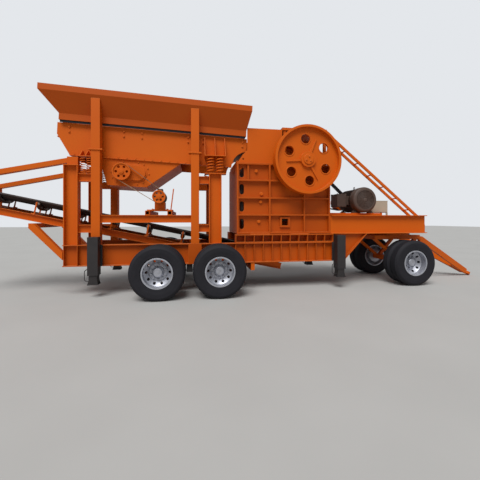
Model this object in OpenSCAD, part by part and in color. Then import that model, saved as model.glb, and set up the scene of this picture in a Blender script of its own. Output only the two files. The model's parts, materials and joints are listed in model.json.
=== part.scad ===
// Mobile jaw crushing plant on a three-axle trailer, millimetres.
// X runs from the conveyor head to the tow eye, Y from the flywheel side to the
// belt side, Z up from the ground. The origin is under the middle of the machine.
// Distances named _x are measured along X from the rear end of the chassis.

/* [Chassis] */
// Length of the chassis beams along their underside
chassis_l = 5850; // [5820:10:5900]
// Height of the beams' underside above the ground
chassis_z = 580; // [560:5:620]
// Height of the chassis beams
chassis_h = 420; // [380:5:440]
// Distance from the centre line to the outer edge of the beam flanges
chassis_half_w = 770; // [740:5:790]
// Width of the beam flanges
flange_w = 170; // [150:5:200]
// Thickness of the beam flanges
flange_t = 16; // [12:1:20]
// Thickness of the beam webs
web_t = 12; // [8:1:16]
// Thickness of stiffener plates
rib_t = 12; // [8:1:16]
// Length that the neck runs forward at its top
neck_l = 565; // [540:5:590]

/* [Raised deck] */
// Gap between the crusher's front and the deck
deck_gap = 2; // [1:1:6]
// Length of the deck beams
deck_l = 2390; // [2300:10:2500]
// Height of the deck beams
deck_h = 420; // [380:5:440]
// Thickness of the deck plate under the motor
deck_plate_t = 8; // [6:1:12]

/* [Crusher base] */
// Start of the row of square windows
base_x = 3388; // [3350:2:3420]
// Number of windows on each side
base_bays = 11; // [9:1:11]
// Distance between two window dividers
base_pitch = 200; // [190:1:200]
// Height of the window row
base_h = 180; // [160:5:200]
// Thickness of the window row's top and bottom plates
base_plate_t = 20; // [14:1:26]
// Thickness of the packing under the crusher
pad_t = 10; // [6:1:16]

/* [Posts and rails] */
// Centre of the rear corner posts
corner_x = 148; // [140:1:160]
// Width of the rear corner posts
corner_w = 260; // [240:5:280]
// Height of the rear corner posts' tops above the ground
corner_top = 2570; // [2540:5:2580]
// Centre of the rear hopper posts
post_1_x = 603; // [590:1:615]
// Centre of the front hopper posts
post_2_x = 2538; // [2500:2:2560]
// Width of the hopper posts
post_w = 165; // [150:5:180]
// Width of the splice flanges
splice_w = 260; // [240:5:280]
// Thickness of one splice flange
splice_t = 14; // [10:1:18]
// Height of the splice above the ground
splice_z = 2880; // [2840:5:2900]
// Centre of the spring posts
spring_post_x = 2958; // [2940:2:2980]
// Width of the spring posts
spring_post_w = 260; // [240:5:280]
// Height of the spring posts' tops above the ground
spring_post_top = 2470; // [2440:5:2480]
// Height of the rails
rail_h = 155; // [140:5:170]
// Width of the rails
rail_w = 120; // [100:5:140]
// Top of the upper rails above the ground
rail_upper_top = 2400; // [2360:5:2410]
// Top of the lower rails above the ground
rail_lower_top = 1395; // [1360:5:1420]
// Top of the long middle rail above the ground
rail_mid_top = 1590; // [1560:5:1620]
// Thickness of post caps and spring seats
cap_t = 16; // [12:1:20]

/* [Feeder] */
// Downward slope of the feeder and hopper towards the crusher
feed_tilt = 2.65; // [2:0.05:3]
// Height of the feeder's top edge over the rear end of the chassis
feed_top = 3445; // [3430:5:3460]
// Start of the feeder, negative is behind the chassis
feed_x = -187; // [-220:1:-160]
// Length of the feeder
feed_l = 3865; // [3820:5:3880]
// Half of the feeder's outside width
feed_half_w = 520; // [500:5:525]
// Depth of the feeder's sides
feed_h = 655; // [630:5:660]
// Depth of the upright part of the feeder's rear edge
feed_rear_h = 230; // [200:5:260]
// Length of the slant at the feeder's rear
feed_rear_slant = 265; // [240:5:290]
// Thickness of the feeder's plates
feed_t = 14; // [10:1:18]
// Depth of the feeder's floor below its top edge
feed_floor_d = 270; // [250:5:280]
// Radius of the round cut at the feeder's discharge
feed_notch_r = 380; // [360:5:400]
// Length of the grizzly
grizzly_l = 1350; // [1300:10:1400]
// Number of grizzly bars
grizzly_n = 9; // [7:1:10]
// Width of one grizzly bar
grizzly_w = 30; // [25:1:36]
// Height of one grizzly bar
grizzly_h = 60; // [50:1:70]

/* [Hopper] */
// Height of the hopper's rim above the feeder's top edge
rim_top = 640; // [630:5:650]
// Height of the upright rim band
rim_h = 115; // [100:5:120]
// Half of the hopper's width at the rim
rim_half_w = 795; // [785:1:805]
// Half of the hopper's width at the foot of its slope
throat_half_w = 600; // [590:1:610]
// Height of the foot of the slope above the feeder's top edge
throat_top = 160; // [150:5:170]
// Gap between the hopper's skirt and the feeder
skirt_gap = 35; // [25:1:45]
// Start of the slope's foot
throat_x = -136; // [-150:1:-120]
// Length of the slope's foot
throat_l = 3780; // [3750:2:3784]
// Outward lean of the hopper's rear end
rear_flare = 315; // [300:5:330]
// Outward lean of the hopper's front end
front_flare = 75; // [60:5:90]
// Thickness of the hopper's plates
hopper_t = 12; // [8:1:14]

/* [Exciter] */
// Centre of the exciter pulley
exciter_x = 1058; // [1040:2:1080]
// Height of the exciter pulley's centre
exciter_z = 2476; // [2460:2:2490]
// Diameter of the exciter pulley
exciter_d = 355; // [330:5:370]
// Width of the small pulleys
small_pulley_w = 80; // [70:2:90]
// Diameter of the exciter shaft
exciter_shaft_d = 60; // [50:2:70]
// Length of the belt guard plate
guard_l = 300; // [280:5:320]
// Radius of the belt guard plate
guard_r = 185; // [180:1:200]
// Start of the exciter box at its top
box_x = 628; // [600:2:650]
// Length of the exciter box at its top
box_top_l = 1640; // [1600:5:1680]
// Length of the exciter box at its bottom
box_bottom_l = 780; // [740:5:820]
// Lean of the exciter box's rear edge
box_rear_lean = 180; // [160:5:200]
// Depth of the exciter box below the feeder
box_d = 545; // [520:5:560]
// Centre of the feeder motor
feed_motor_x = 1798; // [1780:2:1810]
// Height of the feeder motor's centre
feed_motor_z = 1973; // [1960:2:1990]
// Diameter of the feeder motor's pulley
feed_motor_pulley_d = 268; // [250:2:280]
// Diameter of the feeder motor
feed_motor_d = 270; // [250:5:290]
// Length of the feeder motor
feed_motor_l = 420; // [380:5:440]

/* [Feeder springs] */
// Outside diameter of the front springs
spring_d = 170; // [160:2:180]
// Distance between the front springs of a pair
spring_pitch = 196; // [190:2:200]
// Outside diameter of the rear springs
rear_spring_d = 110; // [100:2:116]
// Distance between the rear springs of a pair
rear_spring_pitch = 116; // [113:1:118]
// Height of a spring bracket's side ribs
bracket_h = 430; // [400:5:450]
// Width of a front spring bracket
bracket_w = 440; // [430:5:460]

/* [Crusher frame] */
// Start of the crusher
crusher_x = 3428; // [3400:2:3440]
// Length of the crusher
crusher_l = 2130; // [2100:5:2130]
// Height of the crusher's side frames
crusher_h = 1535; // [1500:5:1560]
// Half of the width between the side frames
chamber_half_w = 550; // [530:5:555]
// Thickness of the side frames
side_t = 50; // [40:2:54]
// How far the ribs stand out of the side frames
rib_out = 80; // [70:2:84]
// Thickness of the side frames' ribs
frame_rib_t = 34; // [28:2:40]
// Thickness of the crusher's end walls
end_t = 60; // [50:2:70]
// Width of the tall slots
slot_w = 100; // [90:2:104]
// Height of the tall slots
slot_h = 225; // [210:5:240]
// Distance of the slots from the crusher's rear face
slot_x = 116; // [112:1:120]
// Size of the square hole
square_hole = 150; // [130:5:160]
// Width of the frame round the square hole
square_hole_frame = 40; // [30:2:50]

/* [Crusher shaft] */
// Distance of the shaft from the crusher's rear face
shaft_x = 1510; // [1490:5:1530]
// Height of the main shaft above the crusher's top edge
shaft_rise = 65; // [55:5:75]
// Diameter of the shaft
shaft_d = 180; // [160:5:190]
// Outside diameter of the bearing housings
housing_d = 400; // [380:5:420]
// Diameter of the flywheel and of the drive sheave
flywheel_d = 1480; // [1440:10:1500]
// Width of the flywheel's rim
flywheel_w = 200; // [180:5:220]
// Thickness of the flywheel's rim
flywheel_rim_t = 50; // [44:2:60]
// Depth of the flywheel's face behind its rim
flywheel_recess = 90; // [70:2:100]
// Thickness of the flywheel's face
flywheel_web_t = 44; // [36:2:50]
// Diameter of the flywheel's hub
hub_d = 330; // [300:5:350]
// Diameter of the flywheel's holes
hole_d = 206; // [190:2:210]
// Radius of the circle of holes
hole_circle_r = 450; // [430:5:460]
// Number of holes
hole_n = 6; // [5:1:6]
// Distance from the centre line to the flywheel's outer edge
flywheel_outer = 970; // [960:2:980]
// Depth of the flywheel's hub behind its rim
hub_recess = 30; // [20:2:40]
// Distance from the centre line to the drive sheave's inner edge
sheave_y = 700; // [700:2:710]
// Width of the drive sheave
sheave_w = 250; // [230:5:260]
// Number of belt grooves
groove_n = 6; // [4:1:6]

/* [Crusher top] */
// Distance of the inlet box from the crusher's rear face
inlet_x = 240; // [236:2:260]
// Length of the inlet box
inlet_l = 790; // [760:5:800]
// Height of the inlet box
inlet_h = 775; // [760:5:790]
// Thickness of the inlet box's plates
inlet_t = 14; // [10:1:18]
// Length of the platform
platform_l = 1050; // [1000:5:1060]
// Height of the platform above the crusher's top
platform_up = 760; // [750:5:775]
// Thickness of the platform's frame
platform_t = 60; // [50:2:70]

/* [Ladder] */
// Foot of the ladder
ladder_foot_x = 7880; // [7840:2:7900]
// Distance from the centre line to the ladder's middle
ladder_y = 440; // [420:5:460]
// Distance between the ladder's stringers
ladder_w = 260; // [240:5:300]
// Width of a stringer
stringer_w = 60; // [50:2:70]
// Distance between two rungs
rung_pitch = 430; // [400:5:450]
// Diameter of a rung
rung_d = 28; // [24:1:34]

/* [Main motor] */
// Centre of the motor
motor_x = 6588; // [6560:2:6600]
// Height of the motor's centre above the deck
motor_up = 375; // [372:1:390]
// Diameter of the motor's fan cowl
motor_d = 620; // [600:5:630]
// Distance from the centre line to the cowl's face
motor_face_y = 420; // [400:5:440]
// Length of the motor
motor_l = 940; // [900:5:960]
// Diameter of the motor's shaft
motor_shaft_d = 80; // [70:2:90]
// Diameter of the motor's pulley
motor_pulley_d = 440; // [420:5:460]
// Height of the motor's rails
motor_rail_h = 60; // [55:1:66]

/* [Conveyor] */
// Rise of the conveyor towards its head
conv_slope = 12; // [11.5:0.1:12.2]
// Length of the conveyor
conv_l = 6950; // [6600:50:7100]
// Tail end of the conveyor's underside
conv_tail_x = 4488; // [4440:2:4500]
// Height of the tail end's underside above the ground
conv_tail_z = 360; // [350:2:370]
// Distance from the centre line to the outer face of the stringers
conv_half_w = 400; // [380:5:410]
// Height of the stringers
chord_h = 140; // [130:2:150]
// Width of the stringers' flanges
chord_w = 55; // [50:1:60]
// Distance between two idlers
idler_pitch = 750; // [720:10:780]
// Distance from the tail to the first idler
idler_start = 837; // [820:1:860]
// Diameter of the idler rollers
roller_d = 89; // [80:1:95]
// Diameter of the return rollers
return_roller_d = 60; // [50:2:64]
// Width of the belt
belt_w = 650; // [600:10:660]
// Thickness of the belt
belt_t = 10; // [8:1:12]
// Diameter of the drums
drum_d = 240; // [230:2:250]

/* [Wheels] */
// Diameter of the tyres
tyre_d = 1020; // [1000:5:1030]
// Width of one tyre
tyre_w = 235; // [225:1:240]
// Distance between the middles of two paired tyres
dual_pitch = 265; // [255:1:270]
// Diameter of the rims
rim_d = 550; // [540:2:560]
// First rear axle
axle_1_x = 1850; // [1830:2:1860]
// Second rear axle
axle_2_x = 3004; // [2990:2:3020]
// Distance from the centre line to the rear tyres' outer faces
rear_outer = 1425; // [1410:5:1440]
// Front axle
axle_3_x = 7468; // [7450:2:7480]
// Distance from the centre line to the front tyres' outer faces
front_outer = 1010; // [1005:1:1030]
// Size of the square axle tubes
axle_s = 120; // [110:2:124]
// Diameter of the wheel spindles
spindle_d = 90; // [80:2:100]
// Diameter of the wheel hubs
wheel_hub_d = 220; // [210:2:240]
// Number of hand holes in a wheel
hand_hole_n = 10; // [8:1:10]
// Diameter of a hand hole
hand_hole_d = 52; // [44:1:58]

/* [Landing legs] */
// Centre of the rear legs
leg_1_x = 613; // [600:1:625]
// Distance from the chassis' front end back to the front legs' axis
leg_2_back = 172; // [160:2:190]
// Size of the outer tube
leg_s = 190; // [180:2:200]
// Size of the inner leg
leg_inner_s = 150; // [140:2:160]
// Bottom of the outer tube above the ground
leg_z = 430; // [420:5:440]
// Top of the outer tube above the ground
leg_top = 1160; // [1140:5:1165]
// Height of the raised foot above the ground
foot_z = 250; // [240:5:260]
// Size of the foot
foot_s = 190; // [180:2:200]
// Travel of the leg
leg_travel = 245; // [200:5:245]

/* [Steering dolly] */
// Radius of the turntable
turntable_r = 500; // [480:5:510]
// Thickness of each turntable ring
turntable_t = 30; // [24:1:36]
// Length of the dolly frame behind the kingpin
dolly_rear = 650; // [600:5:680]
// Length of the dolly frame in front of the kingpin
dolly_front = 480; // [470:5:490]
// Half of the dolly frame's width
dolly_half_w = 450; // [430:5:460]
// Height of the dolly frame
dolly_h = 100; // [90:2:110]
// Diameter of the kingpin
kingpin_d = 90; // [80:2:100]

/* [Drawbar] */
// Slope of the lowered drawbar
drawbar_slope = 29; // [28:0.5:30]
// Height of the drawbar's beams
drawbar_h = 130; // [120:2:140]
// Width of the drawbar's beams
drawbar_w = 80; // [70:2:90]
// Distance of the drawbar's hinge from the kingpin
drawbar_hinge = 545; // [540:1:560]
// Height of the drawbar's hinge above the ground
drawbar_hinge_z = 1074; // [1066:2:1080]
// Outside diameter of the tow eye
eye_d = 170; // [160:2:180]
// Bore of the tow eye
eye_bore_d = 76; // [60:2:80]
// Thickness of the tow eye
eye_t = 60; // [50:2:64]

/* [Hidden] */

paint = [0.80, 0.32, 0.03];
black_paint = [0.06, 0.06, 0.07];
rubber = [0.07, 0.07, 0.08];
rim_silver = [0.62, 0.63, 0.66];
bare_steel = [0.42, 0.40, 0.38];
motor_brown = [0.30, 0.25, 0.22];
box_beige = [0.66, 0.61, 0.52];
dusty_belt = [0.36, 0.30, 0.27];

$fn = 96;

// Gap of a shaft in its bore, on the radius
run_fit = 0.05;
// Gap between a turning face and a fixed one
face_gap = 0.5;
// Gap between two fixed pieces that seat on each other
seat_gap = 0.3;
// Gap between the fixed belts and their sheaves
belt_gap = 0.5;

near = -1;
far = 1;

// Ends of the machine, which put the origin under its middle
conv_cos = cos(conv_slope);
conv_sin = sin(conv_slope);
drum_z = drum_d / 2 + belt_t + return_roller_d;
drum_at = conv_l - drum_d / 2;
rear_reach = drum_at * conv_cos - drum_z * conv_sin + drum_d / 2 + belt_t - conv_tail_x;
eye_reach = (drawbar_hinge_z - eye_t / 2 * cos(drawbar_slope)
            - eye_d / 2 * sin(drawbar_slope)) / sin(drawbar_slope);
front_reach = axle_3_x + drawbar_hinge + eye_reach * cos(drawbar_slope)
            + eye_d / 2 * cos(drawbar_slope) + eye_t / 2 * sin(drawbar_slope);
rear_x = (rear_reach - front_reach) / 2;

chassis_top = chassis_z + chassis_h;
base_top = chassis_top + base_h;
beam_y = chassis_half_w - flange_w / 2;
deck_top = base_top + deck_h;
leg_2_x = chassis_l - leg_2_back;
crusher_foot = base_top + pad_t;
crusher_top = crusher_foot + crusher_h;
side_face = chamber_half_w + side_t;
shaft_up = crusher_h + shaft_rise;
shaft_z = crusher_foot + shaft_up;
shaft_at = crusher_x + shaft_x;
axle_z = tyre_d / 2;
motor_z = deck_top + motor_up;

module along(x) translate([rear_x + x, 0, 0]) children();

module both_sides() {
  children();
  mirror([0, 1, 0]) children();
}

// Box given by its two corners
module block(low, high) translate(low) cube(high - low);

// Plate whose outline is drawn in X and Z, between two values of Y
module upright(y0, y1) translate([0, y1, 0]) rotate([90, 0, 0]) linear_extrude(y1 - y0) children();

// Beam section turned to run along X, from x = 0 to length l, with its top at z = h
module i_beam_x(l, h, w, tf, tw) {
  block([0, -w / 2, 0], [l, w / 2, tf]);
  block([0, -w / 2, h - tf], [l, w / 2, h]);
  block([0, -tw / 2, tf], [l, tw / 2, h - tf]);
}

// Ring on a shaft along Y, given by its radii and its two faces
module turned_y(r, y0, y1) translate([0, y0, 0]) rotate([-90, 0, 0]) cylinder(r = r, h = y1 - y0);

// Solid of revolution about Y: the outline is drawn as radius and Y
module spun_y() rotate([-90, 0, 0]) rotate_extrude() children();

// Feeder and hopper lie on one slope, drawn from the feeder's top edge
module on_feeder() translate([rear_x, 0, feed_top]) rotate([0, feed_tilt, 0]) children();

// Height above the ground of a point of the feeder's slope
function feed_height(x, up) = feed_top + up / cos(feed_tilt) - x * tan(feed_tilt);

// Conveyor is drawn lying flat, from its head at -conv_l to its tail at 0
module on_conveyor() translate([rear_x + conv_tail_x, 0, conv_tail_z])
  rotate([0, conv_slope, 0]) children();

// Height above the ground of the conveyor's underside
function conv_height(x) = conv_tail_z + (conv_tail_x - x) * tan(conv_slope);

// Closed belt round two wheels, outline in X and Z
module loop_outline(c1, r1, c2, r2) {
  d = c2 - c1;
  dist = norm(d);
  turn = atan2(d[1], d[0]);
  lean = acos((r1 - r2) / dist);
  translate(c1) circle(r = r1, $fn = 180);
  translate(c2) circle(r = r2, $fn = 96);
  polygon([
    c1 + r1 * [cos(turn + lean), sin(turn + lean)],
    c1 + r1 * [cos(turn - lean), sin(turn - lean)],
    c2 + r2 * [cos(turn - lean), sin(turn - lean)],
    c2 + r2 * [cos(turn + lean), sin(turn + lean)]
  ]);
}

module belt_loop(c1, r1, c2, r2, t, y0, y1) upright(y0, y1) difference() {
  loop_outline(c1, r1 + belt_gap + t, c2, r2 + belt_gap + t);
  loop_outline(c1, r1 + belt_gap, c2, r2 + belt_gap);
}

// Chassis beams with their neck, end plates and row of stiffeners
neck_height = base_top - chassis_z;
neck_x = base_x + base_bays * base_pitch;
stiffener_l = 270;
stiffener_inset = 12;

module neck_side() {
  run = neck_l / neck_height;
  upright(-web_t / 2, web_t / 2) polygon([
    [neck_x, chassis_z],
    [chassis_l, chassis_z],
    [chassis_l + neck_l, base_top],
    [neck_x, base_top]
  ]);
  upright(-flange_w / 2, flange_w / 2) polygon([
    [chassis_l - flange_t, chassis_z],
    [chassis_l, chassis_z],
    [chassis_l + neck_l, base_top],
    [chassis_l + neck_l - flange_t * sqrt(1 + run * run), base_top]
  ]);
}

module chassis_beam() {
  translate([0, 0, chassis_z]) i_beam_x(neck_x, chassis_h, flange_w, flange_t, web_t);
  block([neck_x, -flange_w / 2, chassis_z], [chassis_l, flange_w / 2, chassis_z + flange_t]);
  neck_side();
  for (i = [0 : base_bays])
    block([base_x + i * base_pitch - rib_t / 2, -flange_w / 2 + stiffener_inset, chassis_z + flange_t],
          [base_x + i * base_pitch + rib_t / 2, flange_w / 2 - stiffener_inset, chassis_top - flange_t]);
  for (x = [corner_x - corner_w / 2, corner_x + corner_w / 2 - rib_t,
            post_2_x - stiffener_l / 2, post_2_x + stiffener_l / 2 - rib_t])
    block([x, -flange_w / 2, chassis_z + flange_t], [x + rib_t, flange_w / 2, chassis_top - flange_t]);
  for (x0 = [post_2_x - stiffener_l / 2], y = [-flange_w / 2, flange_w / 2 - rib_t])
    block([x0, y, chassis_z + flange_t], [x0 + stiffener_l, y + rib_t, chassis_top - flange_t]);
}

module chassis_beams() color(paint) along(0) both_sides() translate([0, -beam_y, 0]) chassis_beam();

// Cross members lie between the beams, above or below the discharge conveyor
cross_h = 200;
cross_w = 120;
low_cross_h = 70;

module cross_member(x, z0, z1) {
  y = beam_y - web_t / 2;
  block([x - cross_w / 2, -y, z0], [x + cross_w / 2, y, z1]);
}

module hollow_member(x, z0, z1) difference() {
  cross_member(x, z0, z1);
  block([x - cross_w / 2 + web_t, -beam_y, z0 + web_t], [x + cross_w / 2 - web_t, beam_y, z1 - web_t]);
}

module chassis_cross_members() color(paint) along(0) {
  z0 = chassis_z + flange_t;
  for (x = [corner_x, leg_1_x]) hollow_member(x, z0, z0 + cross_h);
  hollow_member(axle_1_x + 4 * cross_w, z0, z0 + low_cross_h);
  for (bay = [6.5, base_bays - 0.5]) hollow_member(base_x + bay * base_pitch, z0, chassis_top - flange_t);
}

// Row of square windows that carries the crusher on two pads a side
pad_l = 420;
pad_starts = [330, 1210];
pad_inset = 10;

module crusher_base() color(paint) along(base_x) both_sides() translate([0, -beam_y, 0]) {
  l = base_bays * base_pitch;
  block([0, -flange_w / 2, chassis_top], [l, flange_w / 2, chassis_top + base_plate_t]);
  block([0, -flange_w / 2, base_top - base_plate_t], [l, flange_w / 2, base_top]);
  for (i = [0 : base_bays]) {
    x = min(max(i * base_pitch - rib_t / 2, 0), l - rib_t);
    block([x, -flange_w / 2, chassis_top + base_plate_t], [x + rib_t, flange_w / 2, base_top - base_plate_t]);
  }
  block([0, flange_w / 2 - rib_t, chassis_top + base_plate_t], [l, flange_w / 2, base_top - base_plate_t]);
  for (x = pad_starts)
    block([x, -flange_w / 2 + pad_inset, base_top], [x + pad_l, flange_w / 2, crusher_foot]);
}

// Raised deck over the steering dolly, with the fixed turntable ring and the kingpin
deck_start = crusher_x + crusher_l + deck_gap;
deck_end = deck_start + deck_l;
kingpin_z = base_top - 2 * turntable_t - face_gap - dolly_h;

module deck_frame() color(paint) along(0) {
  both_sides() translate([deck_start, -beam_y, base_top]) i_beam_x(deck_l, deck_h, flange_w, flange_t, web_t);
  y = beam_y - web_t / 2;
  for (x = [deck_start, deck_end - web_t])
    block([x, -y, base_top + flange_t], [x + web_t, y, deck_top - flange_t]);
  for (x = [axle_3_x - turntable_r, axle_3_x - cross_w / 2, axle_3_x + turntable_r - cross_w])
    difference() {
      block([x, -y, base_top], [x + cross_w, y, base_top + cross_h]);
      block([x + web_t, -beam_y, base_top + web_t],
            [x + cross_w - web_t, beam_y, base_top + cross_h - web_t]);
    }
  block([deck_start + web_t, -(beam_y - flange_w / 2), deck_top - deck_plate_t],
        [deck_end - web_t, beam_y - flange_w / 2, deck_top]);
  translate([axle_3_x, 0, base_top - turntable_t]) {
    difference() {
      cylinder(r = turntable_r, h = turntable_t);
      translate([0, 0, -1]) cylinder(r = turntable_r - 130, h = turntable_t + 2);
    }
    block([-turntable_r + 20, -cross_w / 2, 0], [turntable_r - 20, cross_w / 2, turntable_t]);
  }
  translate([axle_3_x, 0, kingpin_z]) cylinder(r = kingpin_d / 2, h = base_top - kingpin_z);
}

// Posts under the springs: rolled sections with the web facing outwards
module web_post(w, z0, z1) {
  block([-w / 2, -flange_w / 2, z0], [-w / 2 + flange_t, flange_w / 2, z1]);
  block([w / 2 - flange_t, -flange_w / 2, z0], [w / 2, flange_w / 2, z1]);
  block([-w / 2 + flange_t, -web_t / 2, z0], [w / 2 - flange_t, web_t / 2, z1]);
}

cap_edge = 10;

module spring_posts() color(paint) both_sides() along(0) {
  translate([corner_x, -beam_y, 0]) {
    web_post(corner_w, chassis_top, corner_top - cap_t);
    block([-corner_w / 2 - cap_edge, -flange_w / 2 - 5, corner_top - cap_t],
          [corner_w / 2 + cap_edge, flange_w / 2 + 5, corner_top]);
  }
  translate([spring_post_x, -beam_y, 0]) {
    web_post(spring_post_w, chassis_top, spring_post_top - cap_t);
    block([-bracket_w / 2, -flange_w / 2 - 5, spring_post_top - cap_t],
          [bracket_w / 2, flange_w / 2 + 5, spring_post_top]);
  }
}

// Hopper posts: square tubes whose slanted tops follow the hopper's side
tube_t = 10;
splice_lap = 18;
splice_back = 28;
flare_run = (rim_half_w - throat_half_w) / (rim_top - rim_h - throat_top);

// Height of the hopper's outer face over a post, at a distance from the centre line
function flare_height(x, y) = feed_height(x, throat_top + (y - throat_half_w) / flare_run);

module post_outline(x, inset) {
  y0 = beam_y - post_w / 2 + inset;
  y1 = beam_y + post_w / 2 - inset;
  low_side = x + post_w / 2;
  polygon([[-y1, chassis_top], [-y0, chassis_top],
           [-y0, flare_height(low_side, max(y0, throat_half_w)) - seat_gap],
           [-y1, flare_height(low_side, y1) - seat_gap]]);
}

module hopper_post(x) {
  translate([x - post_w / 2, 0, 0]) difference() {
    rotate([90, 0, 90]) linear_extrude(post_w) post_outline(x, 0);
    translate([tube_t, 0, 0]) rotate([90, 0, 90]) linear_extrude(post_w - 2 * tube_t)
      translate([0, -tube_t]) post_outline(x, tube_t);
  }
  for (z = [splice_z - splice_t, splice_z])
    translate([x, -beam_y, z]) difference() {
      block([-splice_w / 2, -post_w / 2 - splice_lap, 0], [splice_w / 2, post_w / 2 - splice_back, splice_t]);
      block([-post_w / 2 + 1, -post_w / 2 + 1, -1], [post_w / 2 - 1, post_w / 2 - 1, splice_t + 1]);
    }
}

module hopper_posts() color(paint) both_sides() along(0) {
  hopper_post(post_1_x);
  hopper_post(post_2_x);
}

// Rails between the posts
module rail(x0, x1, top) difference() {
  block([x0, -beam_y - rail_w / 2, top - rail_h], [x1, -beam_y + rail_w / 2, top]);
  block([x0 - 1, -beam_y - rail_w / 2 - 1, top - rail_h + web_t], [x1 + 1, -beam_y - web_t, top - web_t]);
}

motor_beam_z = rail_mid_top;
motor_beam_h = 90;
motor_beam_w = 90;

module frame_rails() color(paint) along(0) {
  both_sides() {
    for (top = [rail_upper_top, rail_lower_top]) {
      rail(corner_x + corner_w / 2, post_1_x - post_w / 2, top);
      rail(post_2_x + post_w / 2, spring_post_x - spring_post_w / 2, top);
    }
    rail(post_1_x + post_w / 2, post_2_x - post_w / 2, rail_mid_top);
  }
  for (x = [feed_motor_x - 260, feed_motor_x + 180])
    difference() {
      y = beam_y + rail_w / 2;
      block([x, -y, motor_beam_z], [x + motor_beam_w, y, motor_beam_z + motor_beam_h]);
      block([x + web_t, -y - 1, motor_beam_z + web_t],
            [x + motor_beam_w - web_t, y + 1, motor_beam_z + motor_beam_h - web_t]);
    }
}

// Body with a flat top and foot and four slanted or upright sides
module frustum(low, high) polyhedron(
  [
    [low[0], -low[2], low[3]], [low[1], -low[2], low[3]], [low[1], low[2], low[3]], [low[0], low[2], low[3]],
    [high[0], -high[2], high[3]], [high[1], -high[2], high[3]], [high[1], high[2], high[3]],
    [high[0], high[2], high[3]]
  ],
  [[0, 1, 2, 3], [4, 7, 6, 5], [0, 4, 5, 1], [1, 5, 6, 2], [2, 6, 7, 3], [3, 7, 4, 0]]
);

// Hopper: each row is start, end, half width and height above the feeder's edge
throat_end = throat_x + throat_l;
hopper_rows = [
  [throat_x, throat_end, throat_half_w, skirt_gap],
  [throat_x, throat_end, throat_half_w, throat_top],
  [throat_x - rear_flare, throat_end + front_flare, rim_half_w, rim_top - rim_h],
  [throat_x - rear_flare, throat_end + front_flare, rim_half_w, rim_top]
];

function inner_row(r, up) = [r[0] + hopper_t, r[1] - hopper_t, r[2] - hopper_t, r[3] + up];

module hopper() color(paint) on_feeder() difference() {
  union() for (i = [0 : 2]) frustum(hopper_rows[i], hopper_rows[i + 1]);
  frustum(inner_row(hopper_rows[0], -1), inner_row(hopper_rows[1], 0));
  frustum(inner_row(hopper_rows[1], 0), inner_row(hopper_rows[2], 0));
  frustum(inner_row(hopper_rows[2], 0), inner_row(hopper_rows[3], 1));
}

// Feeder trough with its sides, floor, rear plate and the brackets over the springs
feed_end = feed_x + feed_l;
notch_off = 60;
feed_flange_w = 36;
pan_end = feed_end - grizzly_l;
feed_inner = feed_half_w - feed_t;
front_seat_z = spring_post_top + 360;
rear_spring_x = (corner_x + corner_w / 2 + cap_edge + post_1_x - post_w / 2) / 2;
rear_seat_z = feed_height(rear_spring_x, -feed_h) - 30;
seat_out = beam_y + spring_d / 2;

module feeder_side() difference() {
  polygon([[feed_x, 0], [feed_end, 0], [feed_end, -feed_h], [feed_x + feed_rear_slant, -feed_h],
           [feed_x, -feed_rear_h]]);
  translate([feed_end + notch_off, -feed_h]) circle(r = feed_notch_r);
}

module spring_bracket(x, w, z, h, out) {
  translate([rear_x, 0, 0]) {
    block([x - w / 2, -out, z], [x + w / 2, -feed_half_w, z + feed_t]);
    for (i = [-1, 0, 1])
      translate([x + i * (w / 2 - rib_t / 2) - rib_t / 2, 0, 0]) rotate([90, 0, 90]) linear_extrude(rib_t)
        polygon([[-out, z], [-feed_half_w, z], [-feed_half_w, z + h], [-feed_half_w - 60, z + h]]);
  }
}

module feeder_trough() color(paint) {
  on_feeder() {
    both_sides() upright(-feed_half_w, -feed_inner) feeder_side();
    block([feed_x, -feed_inner, -feed_rear_h], [feed_x + feed_t, feed_inner, 0]);
    block([feed_x, -feed_inner, -feed_floor_d - feed_t], [pan_end, feed_inner, -feed_floor_d]);
    upright(-feed_inner, feed_inner) polygon([
      [feed_x, -feed_rear_h], [feed_x + feed_t, -feed_rear_h],
      [feed_x + feed_rear_slant + feed_t, -feed_h], [feed_x + feed_rear_slant, -feed_h]
    ]);
    block([feed_end - 80, -feed_inner, -feed_floor_d - grizzly_h - feed_t],
          [feed_end - 40, feed_inner, -feed_floor_d - grizzly_h]);
    both_sides() block([feed_x + feed_rear_slant, -feed_half_w - feed_flange_w, -feed_h],
                       [feed_end + notch_off - feed_notch_r, -feed_inner, -feed_h + feed_t]);
  }
  both_sides() {
    spring_bracket(spring_post_x, bracket_w, front_seat_z, bracket_h, seat_out);
    spring_bracket(rear_spring_x, 2 * rear_spring_pitch - 6, rear_seat_z, bracket_h / 3,
                   beam_y + rear_spring_d / 2);
  }
}

// Bars lie on the pan's end and on the cross bar at the discharge
module grizzly_bars() color(bare_steel) on_feeder() {
  pitch = 2 * feed_inner / (grizzly_n + 1);
  for (i = [1 : grizzly_n]) {
    y = -feed_inner + i * pitch;
    block([pan_end, y - grizzly_w / 2, -feed_floor_d - grizzly_h],
          [feed_end, y + grizzly_w / 2, -feed_floor_d]);
  }
}

// Exciter box under the feeder, open inside, with the guard plate behind the pulley
module exciter_outline() polygon([
  [box_x, -feed_h], [box_x + box_top_l, -feed_h],
  [box_x + box_rear_lean + box_bottom_l, -feed_h - box_d], [box_x + box_rear_lean, -feed_h - box_d]
]);

module exciter_inside() polygon([
  [box_x + 2 * feed_t, -feed_h - feed_t], [box_x + box_top_l - 4 * feed_t, -feed_h - feed_t],
  [box_x + box_rear_lean + box_bottom_l - feed_t, -feed_h - box_d + feed_t],
  [box_x + box_rear_lean + feed_t, -feed_h - box_d + feed_t]
]);

guard_t = 40;
guard_face = feed_half_w + guard_t;

module guard_outline(r) {
  circle(r = r);
  translate([guard_l, 0]) circle(r = r);
  translate([0, -r]) square([guard_l, 2 * r]);
}

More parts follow.
